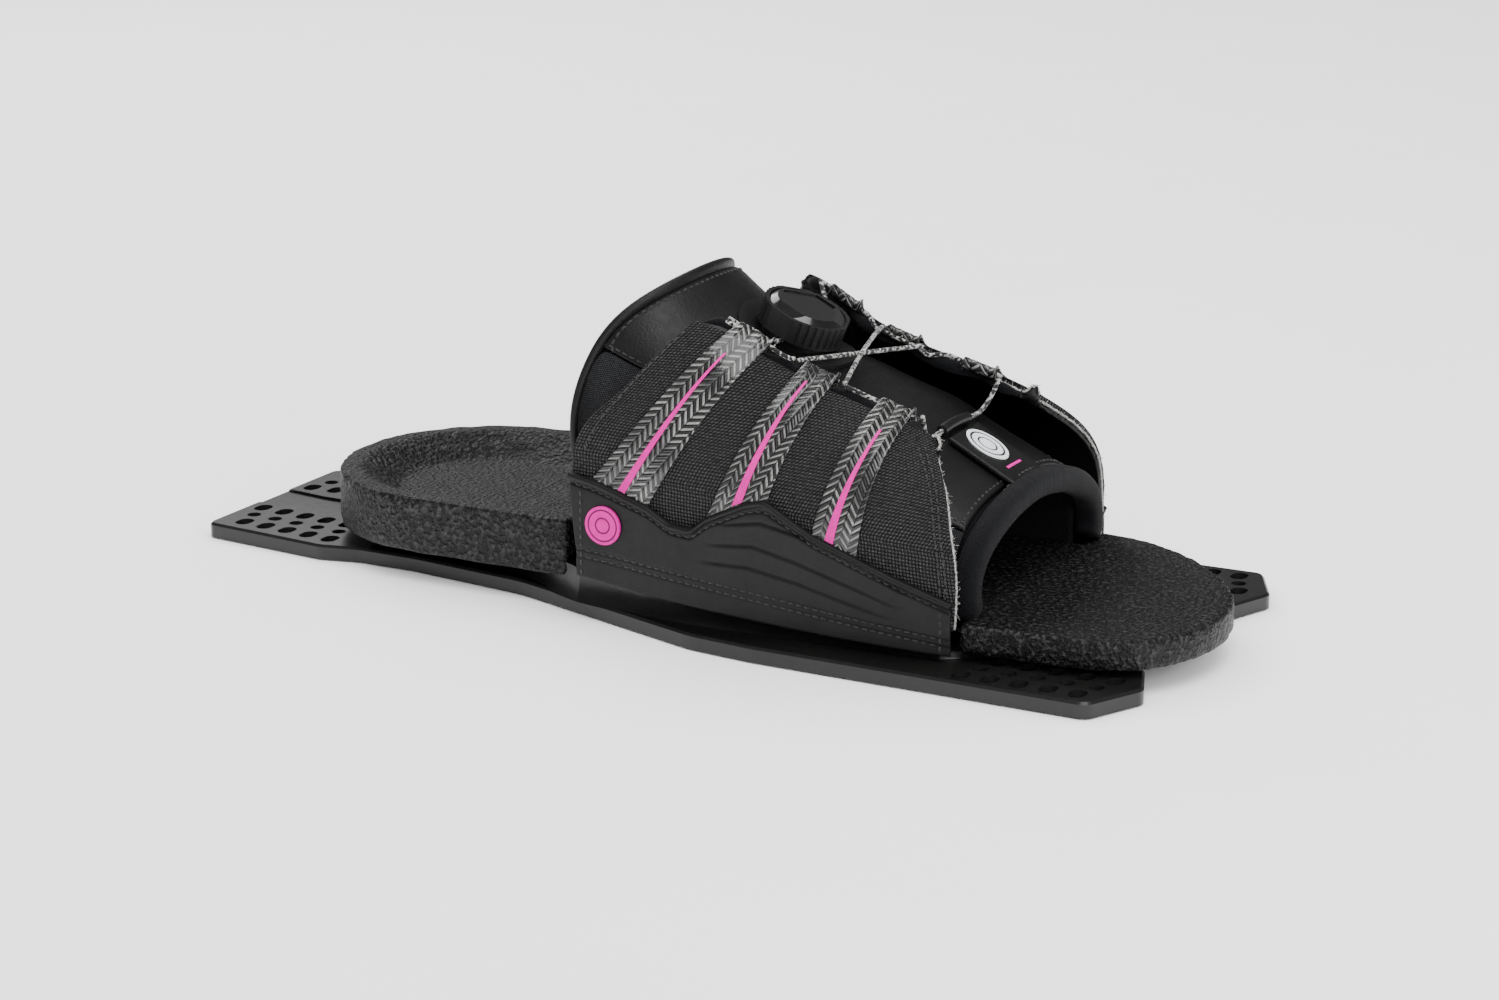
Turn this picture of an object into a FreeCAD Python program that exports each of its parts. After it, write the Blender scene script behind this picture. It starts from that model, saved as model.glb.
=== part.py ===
import FreeCAD, Part
import math
import os

# Rear toe binding for a water ski: a moulded plate, a foam footbed and an open-heeled
# upper whose two side panels are drawn together by a lace wound on a dial.
# Millimetres. +X points to the toe, +Y to the wearer's left, +Z up.
# The origin is the centre of the plate's underside.

V = FreeCAD.Vector
NODES = {}

# ---- plate ----
PLATE_HALF_LENGTH = 156.3
PLATE_THICKNESS = 4.5
HOLE_PITCH = 8.4
HOLE_COLUMNS = 5
SLOT_WIDTH = 4.8
SLOT_LENGTH = 6.6
ROUND_HOLE_RADIUS = 2.15
FRONT_HOLE_X = 142.4
FRONT_HOLE_Y = 60.0
FRONT_ROW_STEP = (2.5, -7.0)
TAIL_HOLE_X = -146.5
TAIL_HOLE_Y = 28.7
TAIL_ROW_STEP = (-2.0, -7.7)
TAIL_SPLAY = 0.84
TAIL_WEB_DEPTH = 0.8

# ---- deck that carries the upper ----
DECK_FRONT_HEIGHT = 6.0
DECK_RISE = 7.3
DECK_RISE_START = -16.0
DECK_RISE_RUN = 46.0
DECK_RISE_POWER = 1.25
DECK_REAR = -106.0
DECK_FRONT = 138.0

# ---- layers clamped to the deck ----
GAP = 0.05
HEM_FLANGE = 1.2
GUSSET_FLANGE = 1.0
BOARD = 1.0
BAR = 1.2
LAYERS_REAR = -24.0
LAYERS_FRONT = 112.0
LAYER_STEPS = 11
DECK_TRIM = 0.3
UPPER_REAR = -15.0
UPPER_FRONT = 99.0
SCREW_XS = (0.0, 30.0, 60.0, 88.0)
SCREW_Y = 35.0

INSERT_RADIUS = 2.6
INSERT_LENGTH = 4.6
SCREW_RADIUS = 1.45
SCREW_HEAD_RADIUS = 2.8
SCREW_HEAD = 1.3
SCREW_SOCKET_RADIUS = 1.0
SCREW_SOCKET = 0.8
HEAD_GAP = 0.45
LAYER_HOLE_RADIUS = SCREW_RADIUS + 0.25
INSERT_COVER = 0.3
FLANGE_INNER_Y = 31.5
FLANGE_OUTER_Y = 52.4
GUSSET_OUTER_Y = 45.0
BOARD_HALF_WIDTH = 40.5
BAR_HALF_WIDTH = 4.0
BAR_REAR = -8.0
BAR_FRONT = 95.0

# ---- footbed ----
HEEL_RADIUS = 45.0
HEEL_CENTRE = -76.0
HEEL_STEP = -22.0
HEEL_BOTTOM = 8.6
HEEL_RIM = 25.5
BOWL_FLOOR = 19.0
BED_HALF_WIDTH = 39.0
TOE_START = 103.2
TOE_TOP = 15.0
HEEL_WALL = 5.0
HEEL_DISH = 18.0
POCKET_WALL = 9.0
POCKET_DRAFT = 4.0
BED_FRONT_TOP = 14.8
BED_UNDER = 14.5
# Top of the middle of the footbed, as (x, 0, height).
BED_TOP = [(-30, 0, 20.5), (-16, 0, 21.5), (5, 0, 19.0), (24, 0, 16.8), (43, 0, 15.6),
           (71, 0, BED_FRONT_TOP), (96, 0, BED_FRONT_TOP), (TOE_START + 1, 0, BED_FRONT_TOP)]
TOE_RIM = [(112, 50.2, 0), (124, 45.8, 0), (139, 35.8, 0), (153, 20.5, 0), (162, 3, 0),
           (164, -14, 0), (159.5, -32, 0), (148, -44.5, 0), (128, -48.6, 0), (112, -50, 0)]

# ---- upper ----
LEATHER = 2.2
LINER = 2.4
PANEL = 1.8
PANEL_LINING = 2.0
RAND = 1.2
STRIP = 0.7

# ---- arched shapes: the tongue, and the panels outside it ----
# Each row: x, half width, height where the walls start to arch, apex, roundness.
TONGUE_ROWS = [(-24, 46.5, 38, 103, 2.0), (3, 46.5, 38, 91.5, 2.0),
               (12, 46.3, 37, 84, 2.0), (20, 46.0, 36, 78.3, 2.0),
               (28, 46.0, 35, 74.3, 2.05), (36, 46.0, 35, 71.9, 2.1),
               (44, 46.0, 34, 69.5, 2.1), (60, 45.5, 32, 63.5, 2.2),
               (76, 44.5, 29, 55.5, 2.35), (92, 43.5, 24, 46.8, 2.5),
               (100, 43.0, 22, 42.5, 2.6), (110, 43.0, 20, 38.0, 2.6)]
PANEL_ROWS = [(-20, 52.5, 35, 104, 2.0), (-5, 53.2, 35, 104, 2.0),
              (5, 53.5, 35, 103.5, 2.0), (17.5, 54.0, 35, 101, 2.0),
              (29.5, 54.0, 35, 91.5, 2.0), (46, 54.0, 35, 80.6, 2.0),
              (61, 54.0, 35, 75.4, 2.0), (77.5, 53.7, 35, 70.4, 2.0),
              (95, 53.0, 35, 63.5, 2.0), (108, 52.0, 35, 60, 2.0)]
ARCH_FLOOR = 2.0
ARCH_STEPS = 16

# ---- tongue ----
# Throat curve in side view, then the seam between leather and mesh.
THROAT = [(-13.5, 0, 14.0), (-16.0, 0, 30.0), (-18.5, 0, 48.0), (-19.0, 0, 58.0),
          (-16.5, 0, 70.5), (-12.0, 0, 80.3), (-4.0, 0, 87.8), (2.6, 0, 92.6), (8.0, 0, 98.0)]
SEAM_REAR = (-30.0, 0, 81.0)
SEAM_FRONT = (112.0, 0, 32.0)
LEATHER_FRONT = 98.5
BINDING_WIDTH = 2.4
BINDING_FOLD = 0.5
BINDING_FOOT = 20.0
COLLAR_FRONT = 106.0
COLLAR_FOOT = 16.5
COLLAR_SWELL = 0.8

# ---- side panels, drawn in side view as (x, 0, height) ----
PANEL_REAR = [(-13.6, 0, 20.0), (-14.8, 0, 30.0), (-15.6, 0, 40.0), (-15.2, 0, 50.0),
              (-11.5, 0, 58.0), (-5.0, 0, 64.6), (4.5, 0, 75.4), (14.6, 0, 86.6)]
PANEL_TOP = [(14.6, 0, 86.6), (22.5, 0, 84.2), (29.1, 0, 81.3), (36.5, 0, 77.2),
             (47.5, 0, 72.4), (62.4, 0, 68.0), (76.0, 0, 64.2), (86.0, 0, 61.2)]
PANEL_TOE = [(86.0, 0, 61.2), (92.2, 0, 55.1), (97.4, 0, 48.5), (100.2, 0, 42.0),
             (102.3, 0, 33.0), (103.0, 0, 22.3), (102.6, 0, 13.0)]
# Upper edge of the rubber rand: two dips, between the strips and behind them.
RAND_SEAM = [(-16.0, 0, 43.5), (-8.0, 0, 42.0), (10.0, 0, 36.8), (17.0, 0, 33.0),
             (24.0, 0, 32.3), (29.0, 0, 36.4), (41.0, 0, 42.0), (46.5, 0, 43.2),
             (52.0, 0, 40.5), (61.5, 0, 35.5), (85.0, 0, 27.2), (104.0, 0, 21.3)]
HEM_TOP_REAR = 20.0
HEM_TOP_FRONT = 13.0
# Strip outlines in side view: foot rear, foot front, head front, head rear.
STRIPS = [((-10.5, 39.5), (8.5, 34.5), (34.7, 79.0), (24.5, 84.0)),
          ((28.0, 34.5), (46.2, 40.0), (54.6, 70.8), (44.5, 74.2)),
          ((60.6, 34.5), (74.3, 28.5), (78.5, 64.0), (68.3, 67.0))]
STRIP_NAMES = ("rear", "middle", "front")
# Stripe on each strip: foot, head, half width at the foot and at the head.
STRIPES = [((0.0, 37.6), (25.7, 78.7), 1.4, 0.35),
           ((37.4, 39.0), (47.9, 72.0), 1.4, 0.35),
           ((66.1, 32.8), (73.3, 62.5), 1.4, 0.35)]
BADGE_CENTRE = (-4.3, 29.2)
BADGE_RADIUS = 5.6
LACE_INSET = 3.4
LACE_LIFT = 0.95
BADGE_THICKNESS = 0.7
PRINT = 0.2
LOOP_RADIUS = 1.9
LOOP_BORE = 1.3

# ---- dial ----
DIAL_SEAT = (27.5, 0.0, 73.6)
DIAL_TILT = 22.0
KNOB_RADIUS = 12.9
POST_RADIUS = 2.0
BORE_CLEARANCE = 0.05
LACE_RADIUS = 0.65
TUBE_LENGTHS = 2
# Heights and radii of the dial parts, along and about the dial's own axis.
WELL_FLOOR = 1.2
BASE_RADIUS = 18.0
BASE_THICKNESS = 1.5
BOSS_RADIUS = 12.4
BOSS_TOP = 2.0
DRIVE_LOW = 6.3
DRIVE_TOP = 7.7
SPOOL_LOW = 3.1
SPOOL_TOP = 6.1
KNOB_LOW = 8.9
KNOB_TOP = 11.2
CAP_TOP = 13.0
GRIP_LOW = 4.9
HOUSING_RADIUS = 10.6
CHAMBER_RADIUS = 9.2
RATCHET_TEETH = 24
TOOTH_DEPTH = 0.9
HOUSING_FLOOR = 1.4
HOUSING_TOP = 8.2
POST_TOP = 10.2
SPOOL_FLANGE = 0.6
SPOOL_RADIUS = 8.9
SPOOL_CORE = 4.6
SPOOL_DOG_CIRCLE = 6.5
COIL_RADII = (5.4, 6.75, 8.1)
COIL_WIRE = 0.62
LACE_PORT_HEIGHT = 3.9
DRIVE_RADIUS = 7.6
PAWL_REACH = 4.6
PAWL_LOW = 6.9
PAWL_TOP = 7.7
LEG_CIRCLE = 5.0
LEG_RADIUS = 1.03
LEG_HOLE_RADIUS = 1.1
SKIRT_LOW = 5.2
GRIP_WALL = 1.3
GRIP_RIBS = 36
LOBE_ANGLE = 80.0
RIBBED_HALF_ANGLE = 36.0
FLANK_RADIUS = 12.35
RIB_GROOVE = 0.45
CAP_LOW_RADIUS = 11.5
CAP_TOP_RADIUS = 9.6
CAP_BAR_LOW = 11.3
CAP_BAR_TOP = 8.2
INSET_REACH = 9.0
INSET_CORNER = 24.0
INSET_DEPTH = 0.45

# ---- toe tab and lace ----
TAB_REAR = 81.0
TAB_HALF_WIDTH = 10.0
GUIDE_X = 78.3
GUIDE_RADIUS = 1.6
TAB_FRONT = 105.5
EMBLEM_X = 88.5
EMBLEM_RADIUS = 6.0
GUIDE_LIFT = 2.3
GUIDE_HALF_ANGLE = 11.0
LACE_REAR = 21.5
LACE_FRONT = 80.6
CROSSING_RISE = 1.6
NEAR_CROSS_START = 41.5
NEAR_CROSS_END = 56.8
FAR_CROSS_START = 42.8
FAR_CROSS_END = 56.4
BYPASS_INBOARD = 2.8
BYPASS_DROP = 1.8
END_INBOARD = 2.0
END_RISE = 0.9


# ------------------------------------------------------------------ helpers

def add(name, shape):
    """Register a node: one solid, or a list of separate solids."""
    if isinstance(shape, (list, tuple)):
        shape = Part.makeCompound(list(shape))
    NODES[name] = shape


def mirror(shape):
    """The same piece on the other side of the X-Z plane."""
    if isinstance(shape, (list, tuple)):
        return [mirror(one) for one in shape]
    return shape.mirror(V(0, 0, 0), V(0, 1, 0))


def solid_of(shape):
    """The largest solid of a boolean result, with merged faces."""
    solids = sorted(shape.Solids, key=lambda one: one.Volume)
    return solids[-1].removeSplitter()


def spline(points):
    curve = Part.BSplineCurve()
    curve.interpolate([V(*point) for point in points])
    return curve.toShape()


def lines(points):
    pairs = zip(points[:-1], points[1:])
    return [Part.LineSegment(V(*a), V(*b)).toShape() for a, b in pairs]


def interpolate(table, x):
    """Value at x of a table of (x, value) pairs, straight between its rows."""
    if x <= table[0][0]:
        return table[0][1]
    for (x0, v0), (x1, v1) in zip(table[:-1], table[1:]):
        if x <= x1:
            return v0 + (v1 - v0) * (x - x0) / (x1 - x0)
    return table[-1][1]


def rounded_outline(corners):
    """Closed wire in the XY plane through (x, y, radius) corners."""
    count = len(corners)
    starts, ends, middles = [], [], []
    for index in range(count):
        x, y, radius = corners[index]
        before = V(*corners[index - 1][:2], 0)
        after = V(*corners[(index + 1) % count][:2], 0)
        here = V(x, y, 0)
        into = (before - here).normalize()
        out = (after - here).normalize()
        half = into.getAngle(out) / 2
        if radius == 0 or half > math.pi / 2 - 1e-4:
            starts.append(here)
            ends.append(here)
            middles.append(None)
            continue
        reach = radius / math.tan(half)
        starts.append(here + into * reach)
        ends.append(here + out * reach)
        bisector = (into + out).normalize()
        middles.append(here + bisector * (radius / math.sin(half) - radius))
    edges = []
    for index in range(count):
        if middles[index] is not None:
            arc = Part.Arc(starts[index], middles[index], ends[index])
            edges.append(arc.toShape())
        following = starts[(index + 1) % count]
        if (ends[index] - following).Length > 1e-6:
            edges.append(Part.LineSegment(ends[index], following).toShape())
    return Part.Wire(Part.__sortEdges__(edges))


def symmetric_outline(left_half):
    """Outline from its left half, listed tail to toe, both ends on the X axis."""
    right_half = [(x, -y, r) for x, y, r in reversed(left_half) if y > 0]
    return rounded_outline(left_half + right_half)


def prism(wire, bottom, top):
    face = Part.Face(wire)
    face.translate(V(0, 0, bottom))
    return face.extrude(V(0, 0, top - bottom))


def side_cutter(edges, y0=-90.0, y1=90.0):
    """Prism along Y of a closed outline drawn in the X-Z plane."""
    face = Part.Face(Part.Wire(Part.__sortEdges__(edges)))
    face.translate(V(0, y0, 0))
    return face.extrude(V(0, y1 - y0, 0))


def block(x0, x1, y0, y1, z0, z1):
    return Part.makeBox(x1 - x0, y1 - y0, z1 - z0, V(x0, y0, z0))


def deck_height(x):
    """Top of the deck, which climbs towards the heel under the upper."""
    run = max(0.0, x - DECK_RISE_START) / DECK_RISE_RUN
    return DECK_FRONT_HEIGHT + DECK_RISE * math.exp(-run ** DECK_RISE_POWER)


def under_deck(lift):
    """Everything below a sheet that follows the deck at a height above it."""
    step = (LAYERS_FRONT - LAYERS_REAR) / LAYER_STEPS
    xs = [LAYERS_REAR + step * index for index in range(LAYER_STEPS + 1)]
    points = [(x, 0, deck_height(x) + lift) for x in xs]
    low = [(LAYERS_REAR, 0, -5), (LAYERS_FRONT, 0, -5)]
    box = lines([points[0]] + low + [points[-1]])
    return side_cutter([spline(points)] + box)


def deck_layer(x0, x1, y0, y1, low, high):
    """A sheet that lies along the deck, between two heights above it."""
    sheet = block(x0, x1, y0, y1, -4, 60)
    return sheet.common(under_deck(high)).cut(under_deck(low))


# ------------------------------------------------------------------ base plate

def slot_cutter(x, y):
    """Slot across the plate, long side along Y."""
    straight = (SLOT_LENGTH - SLOT_WIDTH) / 2
    radius = SLOT_WIDTH / 2
    shape = block(x - radius, x + radius, y - straight, y + straight, -1, 20)
    for end in (-straight, straight):
        round_end = Part.makeCylinder(radius, 21, V(x, y + end, -1))
        shape = shape.fuse(round_end)
    return shape.removeSplitter()


def hole_grid(x, y, column_step, row_step):
    """Three rows of mounting holes: slots outside, round holes between them."""
    cutters = []
    for column in range(HOLE_COLUMNS):
        for row in range(3):
            hole_x = x + column * column_step[0] + row * row_step[0]
            hole_y = y + column * column_step[1] + row * row_step[1]
            if row == 1:
                cylinder = Part.makeCylinder(ROUND_HOLE_RADIUS, 21, V(hole_x, hole_y, -1))
                cutters.append(cylinder)
            else:
                cutters.append(slot_cutter(hole_x, hole_y))
    return cutters


def deck_section(x, top_half, base_half, top):
    """Deck cross-section with hollow flanks that run out onto the plate."""
    low = PLATE_THICKNESS - 0.6
    hollow_y = top_half + 0.3 * (base_half - top_half)
    hollow_z = low + 0.3 * (top - low)
    left = Part.Arc(V(x, base_half, low), V(x, hollow_y, hollow_z), V(x, top_half, top))
    right = Part.Arc(V(x, -top_half, top), V(x, -hollow_y, hollow_z), V(x, -base_half, low))
    across = lines([(x, top_half, top), (x, -top_half, top)])
    under = lines([(x, -base_half, low), (x, base_half, low)])
    return Part.Wire([left.toShape()] + across + [right.toShape()] + under)


def deck():
    """Raised middle of the plate, as a loft through its cross-sections."""
    rows = [(DECK_REAR, 19, 25, 7.0), (-98, 23, 29, 11.0), (-80, 25.5, 31.5, None),
            (-60, 27.5, 34, None), (-40, 33.5, 39, None), (LAYERS_REAR, 44.2, 47, None),
            (-16, 48.5, 50.4, None), (5, 50.5, 54.6, None), (24, 51.2, 59.6, None),
            (43, 51.3, 58.6, None), (71, 51.0, 56, None), (98, 50.0, 53, None)]
    front = [(98, 50.0, 53, None), (104, 46.0, 49, None), (LAYERS_FRONT, 38, 41, None),
             (126, 35, 38, None), (DECK_FRONT, 27, 30, None)]
    lofts = []
    for part in (rows, front):
        wires = []
        for x, top_half, base_half, top in part:
            height = deck_height(x) if top is None else top
            if LAYERS_REAR < x < LAYERS_FRONT:
                height += DECK_TRIM
            wires.append(deck_section(x, top_half, base_half, height))
        lofts.append(Part.makeLoft(wires, True, True))
    above = block(LAYERS_REAR, LAYERS_FRONT, -90, 90, 3, 60).cut(under_deck(0))
    return lofts[0].fuse(lofts[1]).cut(above)


def make_base_plate():
    outline = symmetric_outline([
        (-PLATE_HALF_LENGTH, 0, 0), (-PLATE_HALF_LENGTH, 34.6, 3.0), (-112, 39, 6),
        (-100, 36, 10), (-80, 36.2, 40), (-40, 41, 40), (27.5, 63, 25), (48, 65.2, 20),
        (147.5, 66.4, 4), (PLATE_HALF_LENGTH, 48, 4.5), (150.5, 33, 6), (139, 20, 10),
        (136, 0, 0)])
    plate = prism(outline, 0, PLATE_THICKNESS)
    top_rim = [edge for edge in plate.Edges if edge.BoundBox.ZMin > PLATE_THICKNESS - 0.1]
    plate = plate.makeChamfer(0.7, top_rim)
    plate = plate.fuse(deck())
    web = symmetric_outline([(-160, 0, 0), (-160, 9, 0), (-141, 6.2, 12), (-128, 6.0, 12),
                             (-119, 9.5, 5), (-110, 9.5, 3), (-106, 0, 0)])
    plate = plate.cut(prism(web, PLATE_THICKNESS - TAIL_WEB_DEPTH, PLATE_THICKNESS + 1))
    cutters = hole_grid(FRONT_HOLE_X, FRONT_HOLE_Y, (-HOLE_PITCH, 0), FRONT_ROW_STEP)
    cutters += hole_grid(TAIL_HOLE_X, TAIL_HOLE_Y, (HOLE_PITCH, TAIL_SPLAY), TAIL_ROW_STEP)
    cutters += mirror(cutters)
    for x in SCREW_XS:
        for y in (-SCREW_Y, SCREW_Y):
            cutters.append(Part.makeCylinder(INSERT_RADIUS, INSERT_LENGTH + 4,
                                             V(x, y, insert_bottom(x))))
    return solid_of(plate.cut(Part.makeCompound(cutters)))


# ------------------------------------------------------------------ clamping parts

def insert_bottom(x):
    return deck_height(x) - INSERT_LENGTH - INSERT_COVER


def stack_height(x):
    """Top of the clamp bar above the plate's underside."""
    layers = HEM_FLANGE + GUSSET_FLANGE + BOARD + BAR + 4 * GAP
    return deck_height(x) + layers


def make_inserts():
    shapes = []
    for x in SCREW_XS:
        for y in (-SCREW_Y, SCREW_Y):
            place = V(x, y, insert_bottom(x))
            sleeve = Part.makeCylinder(INSERT_RADIUS, INSERT_LENGTH, place)
            bore = Part.makeCylinder(SCREW_RADIUS + BORE_CLEARANCE, INSERT_LENGTH, place)
            shapes.append(sleeve.cut(bore))
    return shapes


def make_screws():
    shapes = []
    for x in SCREW_XS:
        for y in (-SCREW_Y, SCREW_Y):
            seat = stack_height(x) + HEAD_GAP
            low = insert_bottom(x) + 0.2
            shank = Part.makeCylinder(SCREW_RADIUS, seat - low, V(x, y, low))
            head = Part.makeCylinder(SCREW_HEAD_RADIUS, SCREW_HEAD, V(x, y, seat))
            socket_floor = V(x, y, seat + SCREW_HEAD - SCREW_SOCKET)
            socket = Part.makeCylinder(SCREW_SOCKET_RADIUS, SCREW_SOCKET, socket_floor)
            shapes.append(shank.fuse(head).cut(socket).removeSplitter())
    return shapes


def screw_holes(radius):
    cutters = []
    for x in SCREW_XS:
        for y in (-SCREW_Y, SCREW_Y):
            cutters.append(Part.makeCylinder(radius, 40, V(x, y, 0)))
    return Part.makeCompound(cutters)


def make_board():
    low = HEM_FLANGE + GUSSET_FLANGE + 3 * GAP
    board = deck_layer(UPPER_REAR, UPPER_FRONT, -BOARD_HALF_WIDTH, BOARD_HALF_WIDTH,
                       low, low + BOARD)
    board = board.common(tongue_cavity(0.1))
    return solid_of(board.cut(screw_holes(LAYER_HOLE_RADIUS)))


def make_bar():
    """Clamp bar of the left side."""
    low = HEM_FLANGE + GUSSET_FLANGE + BOARD + 4 * GAP
    bar = deck_layer(BAR_REAR, BAR_FRONT, SCREW_Y - BAR_HALF_WIDTH, SCREW_Y + BAR_HALF_WIDTH,
                     low, low + BAR)
    bar = bar.common(tongue_cavity(0.1))
    return solid_of(bar.cut(screw_holes(LAYER_HOLE_RADIUS)))


# ------------------------------------------------------------------ footbed

def heel_shape(inset, front):
    """D-shaped outline of the heel, drawn in from the pad's edge."""
    radius = HEEL_RADIUS - inset
    back = Part.Arc(V(HEEL_CENTRE, radius, 0), V(HEEL_CENTRE - radius, 0, 0),
                    V(HEEL_CENTRE, -radius, 0)).toShape()
    sides = lines([(HEEL_CENTRE, -radius, 0), (front, -radius, 0),
                   (front, radius, 0), (HEEL_CENTRE, radius, 0)])
    return Part.Wire([back] + sides)


def lifted(wire, height):
    copy = wire.copy()
    copy.translate(V(0, 0, height))
    return copy


def toe_outline():
    """Toe of the footbed: fuller on the big-toe side, which is the right."""
    rest = lines([TOE_RIM[-1], (TOE_START, -50.5, 0), (TOE_START, 51, 0), TOE_RIM[0]])
    return Part.Wire([spline(TOE_RIM)] + rest)


def make_footbed():
    heel = prism(heel_shape(0, HEEL_STEP), HEEL_BOTTOM, HEEL_RIM)
    bowl = Part.makeLoft([lifted(heel_shape(HEEL_DISH, 0), BOWL_FLOOR),
                          lifted(heel_shape(HEEL_WALL, 0), HEEL_RIM + 1)], True, True)
    pocket_roof = DECK_FRONT_HEIGHT + DECK_RISE + 0.3
    pocket = Part.makeLoft([lifted(heel_shape(POCKET_WALL, 0), HEEL_BOTTOM - 1),
                            lifted(heel_shape(POCKET_WALL + POCKET_DRAFT, 0), pocket_roof)],
                           True, True)
    heel = heel.cut(bowl).cut(pocket)
    end, (front, _, _) = BED_TOP[0], BED_TOP[-1]
    under = [(front, 0, 3.0), (LAYERS_REAR, 0, 3.0), (LAYERS_REAR, 0, BED_UNDER)]
    outline = lines([BED_TOP[-1]] + under + [(end[0], 0, BED_UNDER), end])
    middle = side_cutter([spline(BED_TOP)] + outline, -BED_HALF_WIDTH, BED_HALF_WIDTH)
    lift = stack_height(0) - deck_height(0) + 0.1
    cavity = tongue_cavity(0.3)
    behind = block(end[0], LAYERS_REAR, -90, 90, 0, 60)
    middle = middle.cut(under_deck(lift)).common(cavity.fuse(behind))
    toe = prism(toe_outline(), DECK_FRONT_HEIGHT + 0.15, TOE_TOP)
    bed = middle.fuse(heel).fuse(toe)
    for sideways in (-2 * GAP, 2 * GAP):
        clear_deck = deck()
        clear_deck.translate(V(0, sideways, GAP))
        bed = bed.cut(clear_deck)
    heads = []
    for x in SCREW_XS:
        for y in (-SCREW_Y, SCREW_Y):
            heads.append(Part.makeCylinder(SCREW_HEAD_RADIUS + 0.3, SCREW_HEAD + 1.0,
                                           V(x, y, stack_height(x) - 0.4)))
    return solid_of(bed.cut(Part.makeCompound(heads)))


# ------------------------------------------------------------------ arched sheets

def arch_section(row, offset):
    """Tunnel cross-section: straight walls and a rounded crown."""
    x, half_width, spring, apex, power = row
    half_width = half_width + offset
    rise = apex + offset - spring
    crown = []
    for step in range(ARCH_STEPS + 1):
        angle = math.pi * step / ARCH_STEPS
        side = math.cos(angle)
        y = math.copysign(abs(side) ** (2 / power), side) * half_width
        z = spring + math.sin(angle) ** (2 / power) * rise if 0 < step < ARCH_STEPS else spring
        crown.append((x, y, z))
    left = lines([(x, half_width, ARCH_FLOOR), crown[0]])
    right = lines([crown[-1], (x, -half_width, ARCH_FLOOR)])
    floor = lines([(x, -half_width, ARCH_FLOOR), (x, half_width, ARCH_FLOOR)])
    return Part.Wire(left + [spline(crown)] + right + floor)


def arch_solid(rows, offset):
    wires = [arch_section(row, offset) for row in rows]
    return Part.makeLoft(wires, True, False)


def arch_band(rows, outer, inner):
    """Sheet between two offsets of the same tunnel."""
    hollow = arch_solid(rows, inner)
    hollow.translate(V(0, 0, -0.001))
    return arch_solid(rows, outer).cut(hollow)


def tongue_cavity(gap):
    """Room for the foot inside the tongue's lining."""
    return arch_solid(TONGUE_ROWS, -LEATHER - LINER - gap)


def arch_point(rows, x, z, offset=0.0):
    """Half width of the tunnel at x and height z."""
    values = []
    for index in range(1, 5):
        values.append(interpolate([(row[0], row[index]) for row in rows], x))
    half_width, spring, apex, power = values
    half_width = half_width + offset
    if z <= spring:
        return half_width
    ratio = min(1.0, (z - spring) / (apex + offset - spring))
    return half_width * (1 - ratio ** power) ** (1 / power)


def tongue_apex(x):
    return interpolate([(row[0], row[3]) for row in TONGUE_ROWS], x)


# ------------------------------------------------------------------ tongue

def throat_points(shift):
    return [(x + shift, 0, z) for x, _, z in THROAT]


def tongue_region(base_lift):
    """Side view of the tongue: throat curve behind, straight edge in front."""
    rear = throat_points(0)
    front = LEATHER_FRONT
    rest = lines([rear[-1], (front, 0, 98.0), (front, 0, 3.0), (rear[0][0], 0, 3.0), rear[0]])
    return side_cutter([spline(rear)] + rest).cut(under_deck(base_lift))


def seam_side(above, gap):
    """Half space above or below the seam between leather and mesh."""
    (x0, _, z0), (x1, _, z1) = SEAM_REAR, SEAM_FRONT
    far = 130.0 if above else -20.0
    shift = gap if above else -gap
    outline = [(x0, 0, z0 + shift), (x1, 0, z1 + shift), (x1, 0, far), (x0, 0, far)]
    return side_cutter(lines(outline + outline[:1]))


def make_tongue_parts():
    band = arch_band(TONGUE_ROWS, 0, -LEATHER)
    foot = HEM_FLANGE + 2 * GAP
    body = band.common(tongue_region(foot))
    leather = body.common(seam_side(True, GAP)).cut(dial_well())
    leather = solid_of(leather)
    walls = body.common(seam_side(False, GAP))
    right = solid_of(walls.common(block(-60, 130, -90, 0, -10, 130)))
    flange = deck_layer(UPPER_REAR + 2, LEATHER_FRONT - 2, -GUSSET_OUTER_Y, -FLANGE_INNER_Y,
                        foot, foot + GUSSET_FLANGE)
    right = right.fuse(flange).cut(screw_holes(LAYER_HOLE_RADIUS))
    add("tongue_shell", leather)
    add("right_gusset", solid_of(right))
    add("left_gusset", solid_of(mirror(right)))
    lining = arch_band(TONGUE_ROWS, -LEATHER - GAP, -LEATHER - LINER)
    lining = lining.common(tongue_region(foot + GUSSET_FLANGE + GAP))
    add("tongue_liner", solid_of(lining))
    add("throat_binding", make_binding())
    add("toe_collar", make_collar())


def make_binding():
    """Edge tape folded round the throat rim."""
    band = arch_band(TONGUE_ROWS, BINDING_FOLD, -LEATHER - LINER - BINDING_FOLD)
    outer = throat_points(-BINDING_WIDTH)
    inner = throat_points(-GAP)
    ends = lines([outer[0], inner[0]]) + lines([outer[-1], inner[-1]])
    ribbon = side_cutter([spline(outer), spline(inner)] + ends)
    above = block(-60, 60, -90, 90, BINDING_FOOT, 130)
    return solid_of(band.common(ribbon).common(above))


def make_collar():
    """Padded roll that finishes the toe opening above the footbed."""
    band = arch_band(TONGUE_ROWS, COLLAR_SWELL, -LEATHER - LINER - COLLAR_SWELL)
    window = block(LEATHER_FRONT + GAP, COLLAR_FRONT, -90, 90, COLLAR_FOOT, 90)
    return solid_of(band.common(window))


# ------------------------------------------------------------------ side panels

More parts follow.
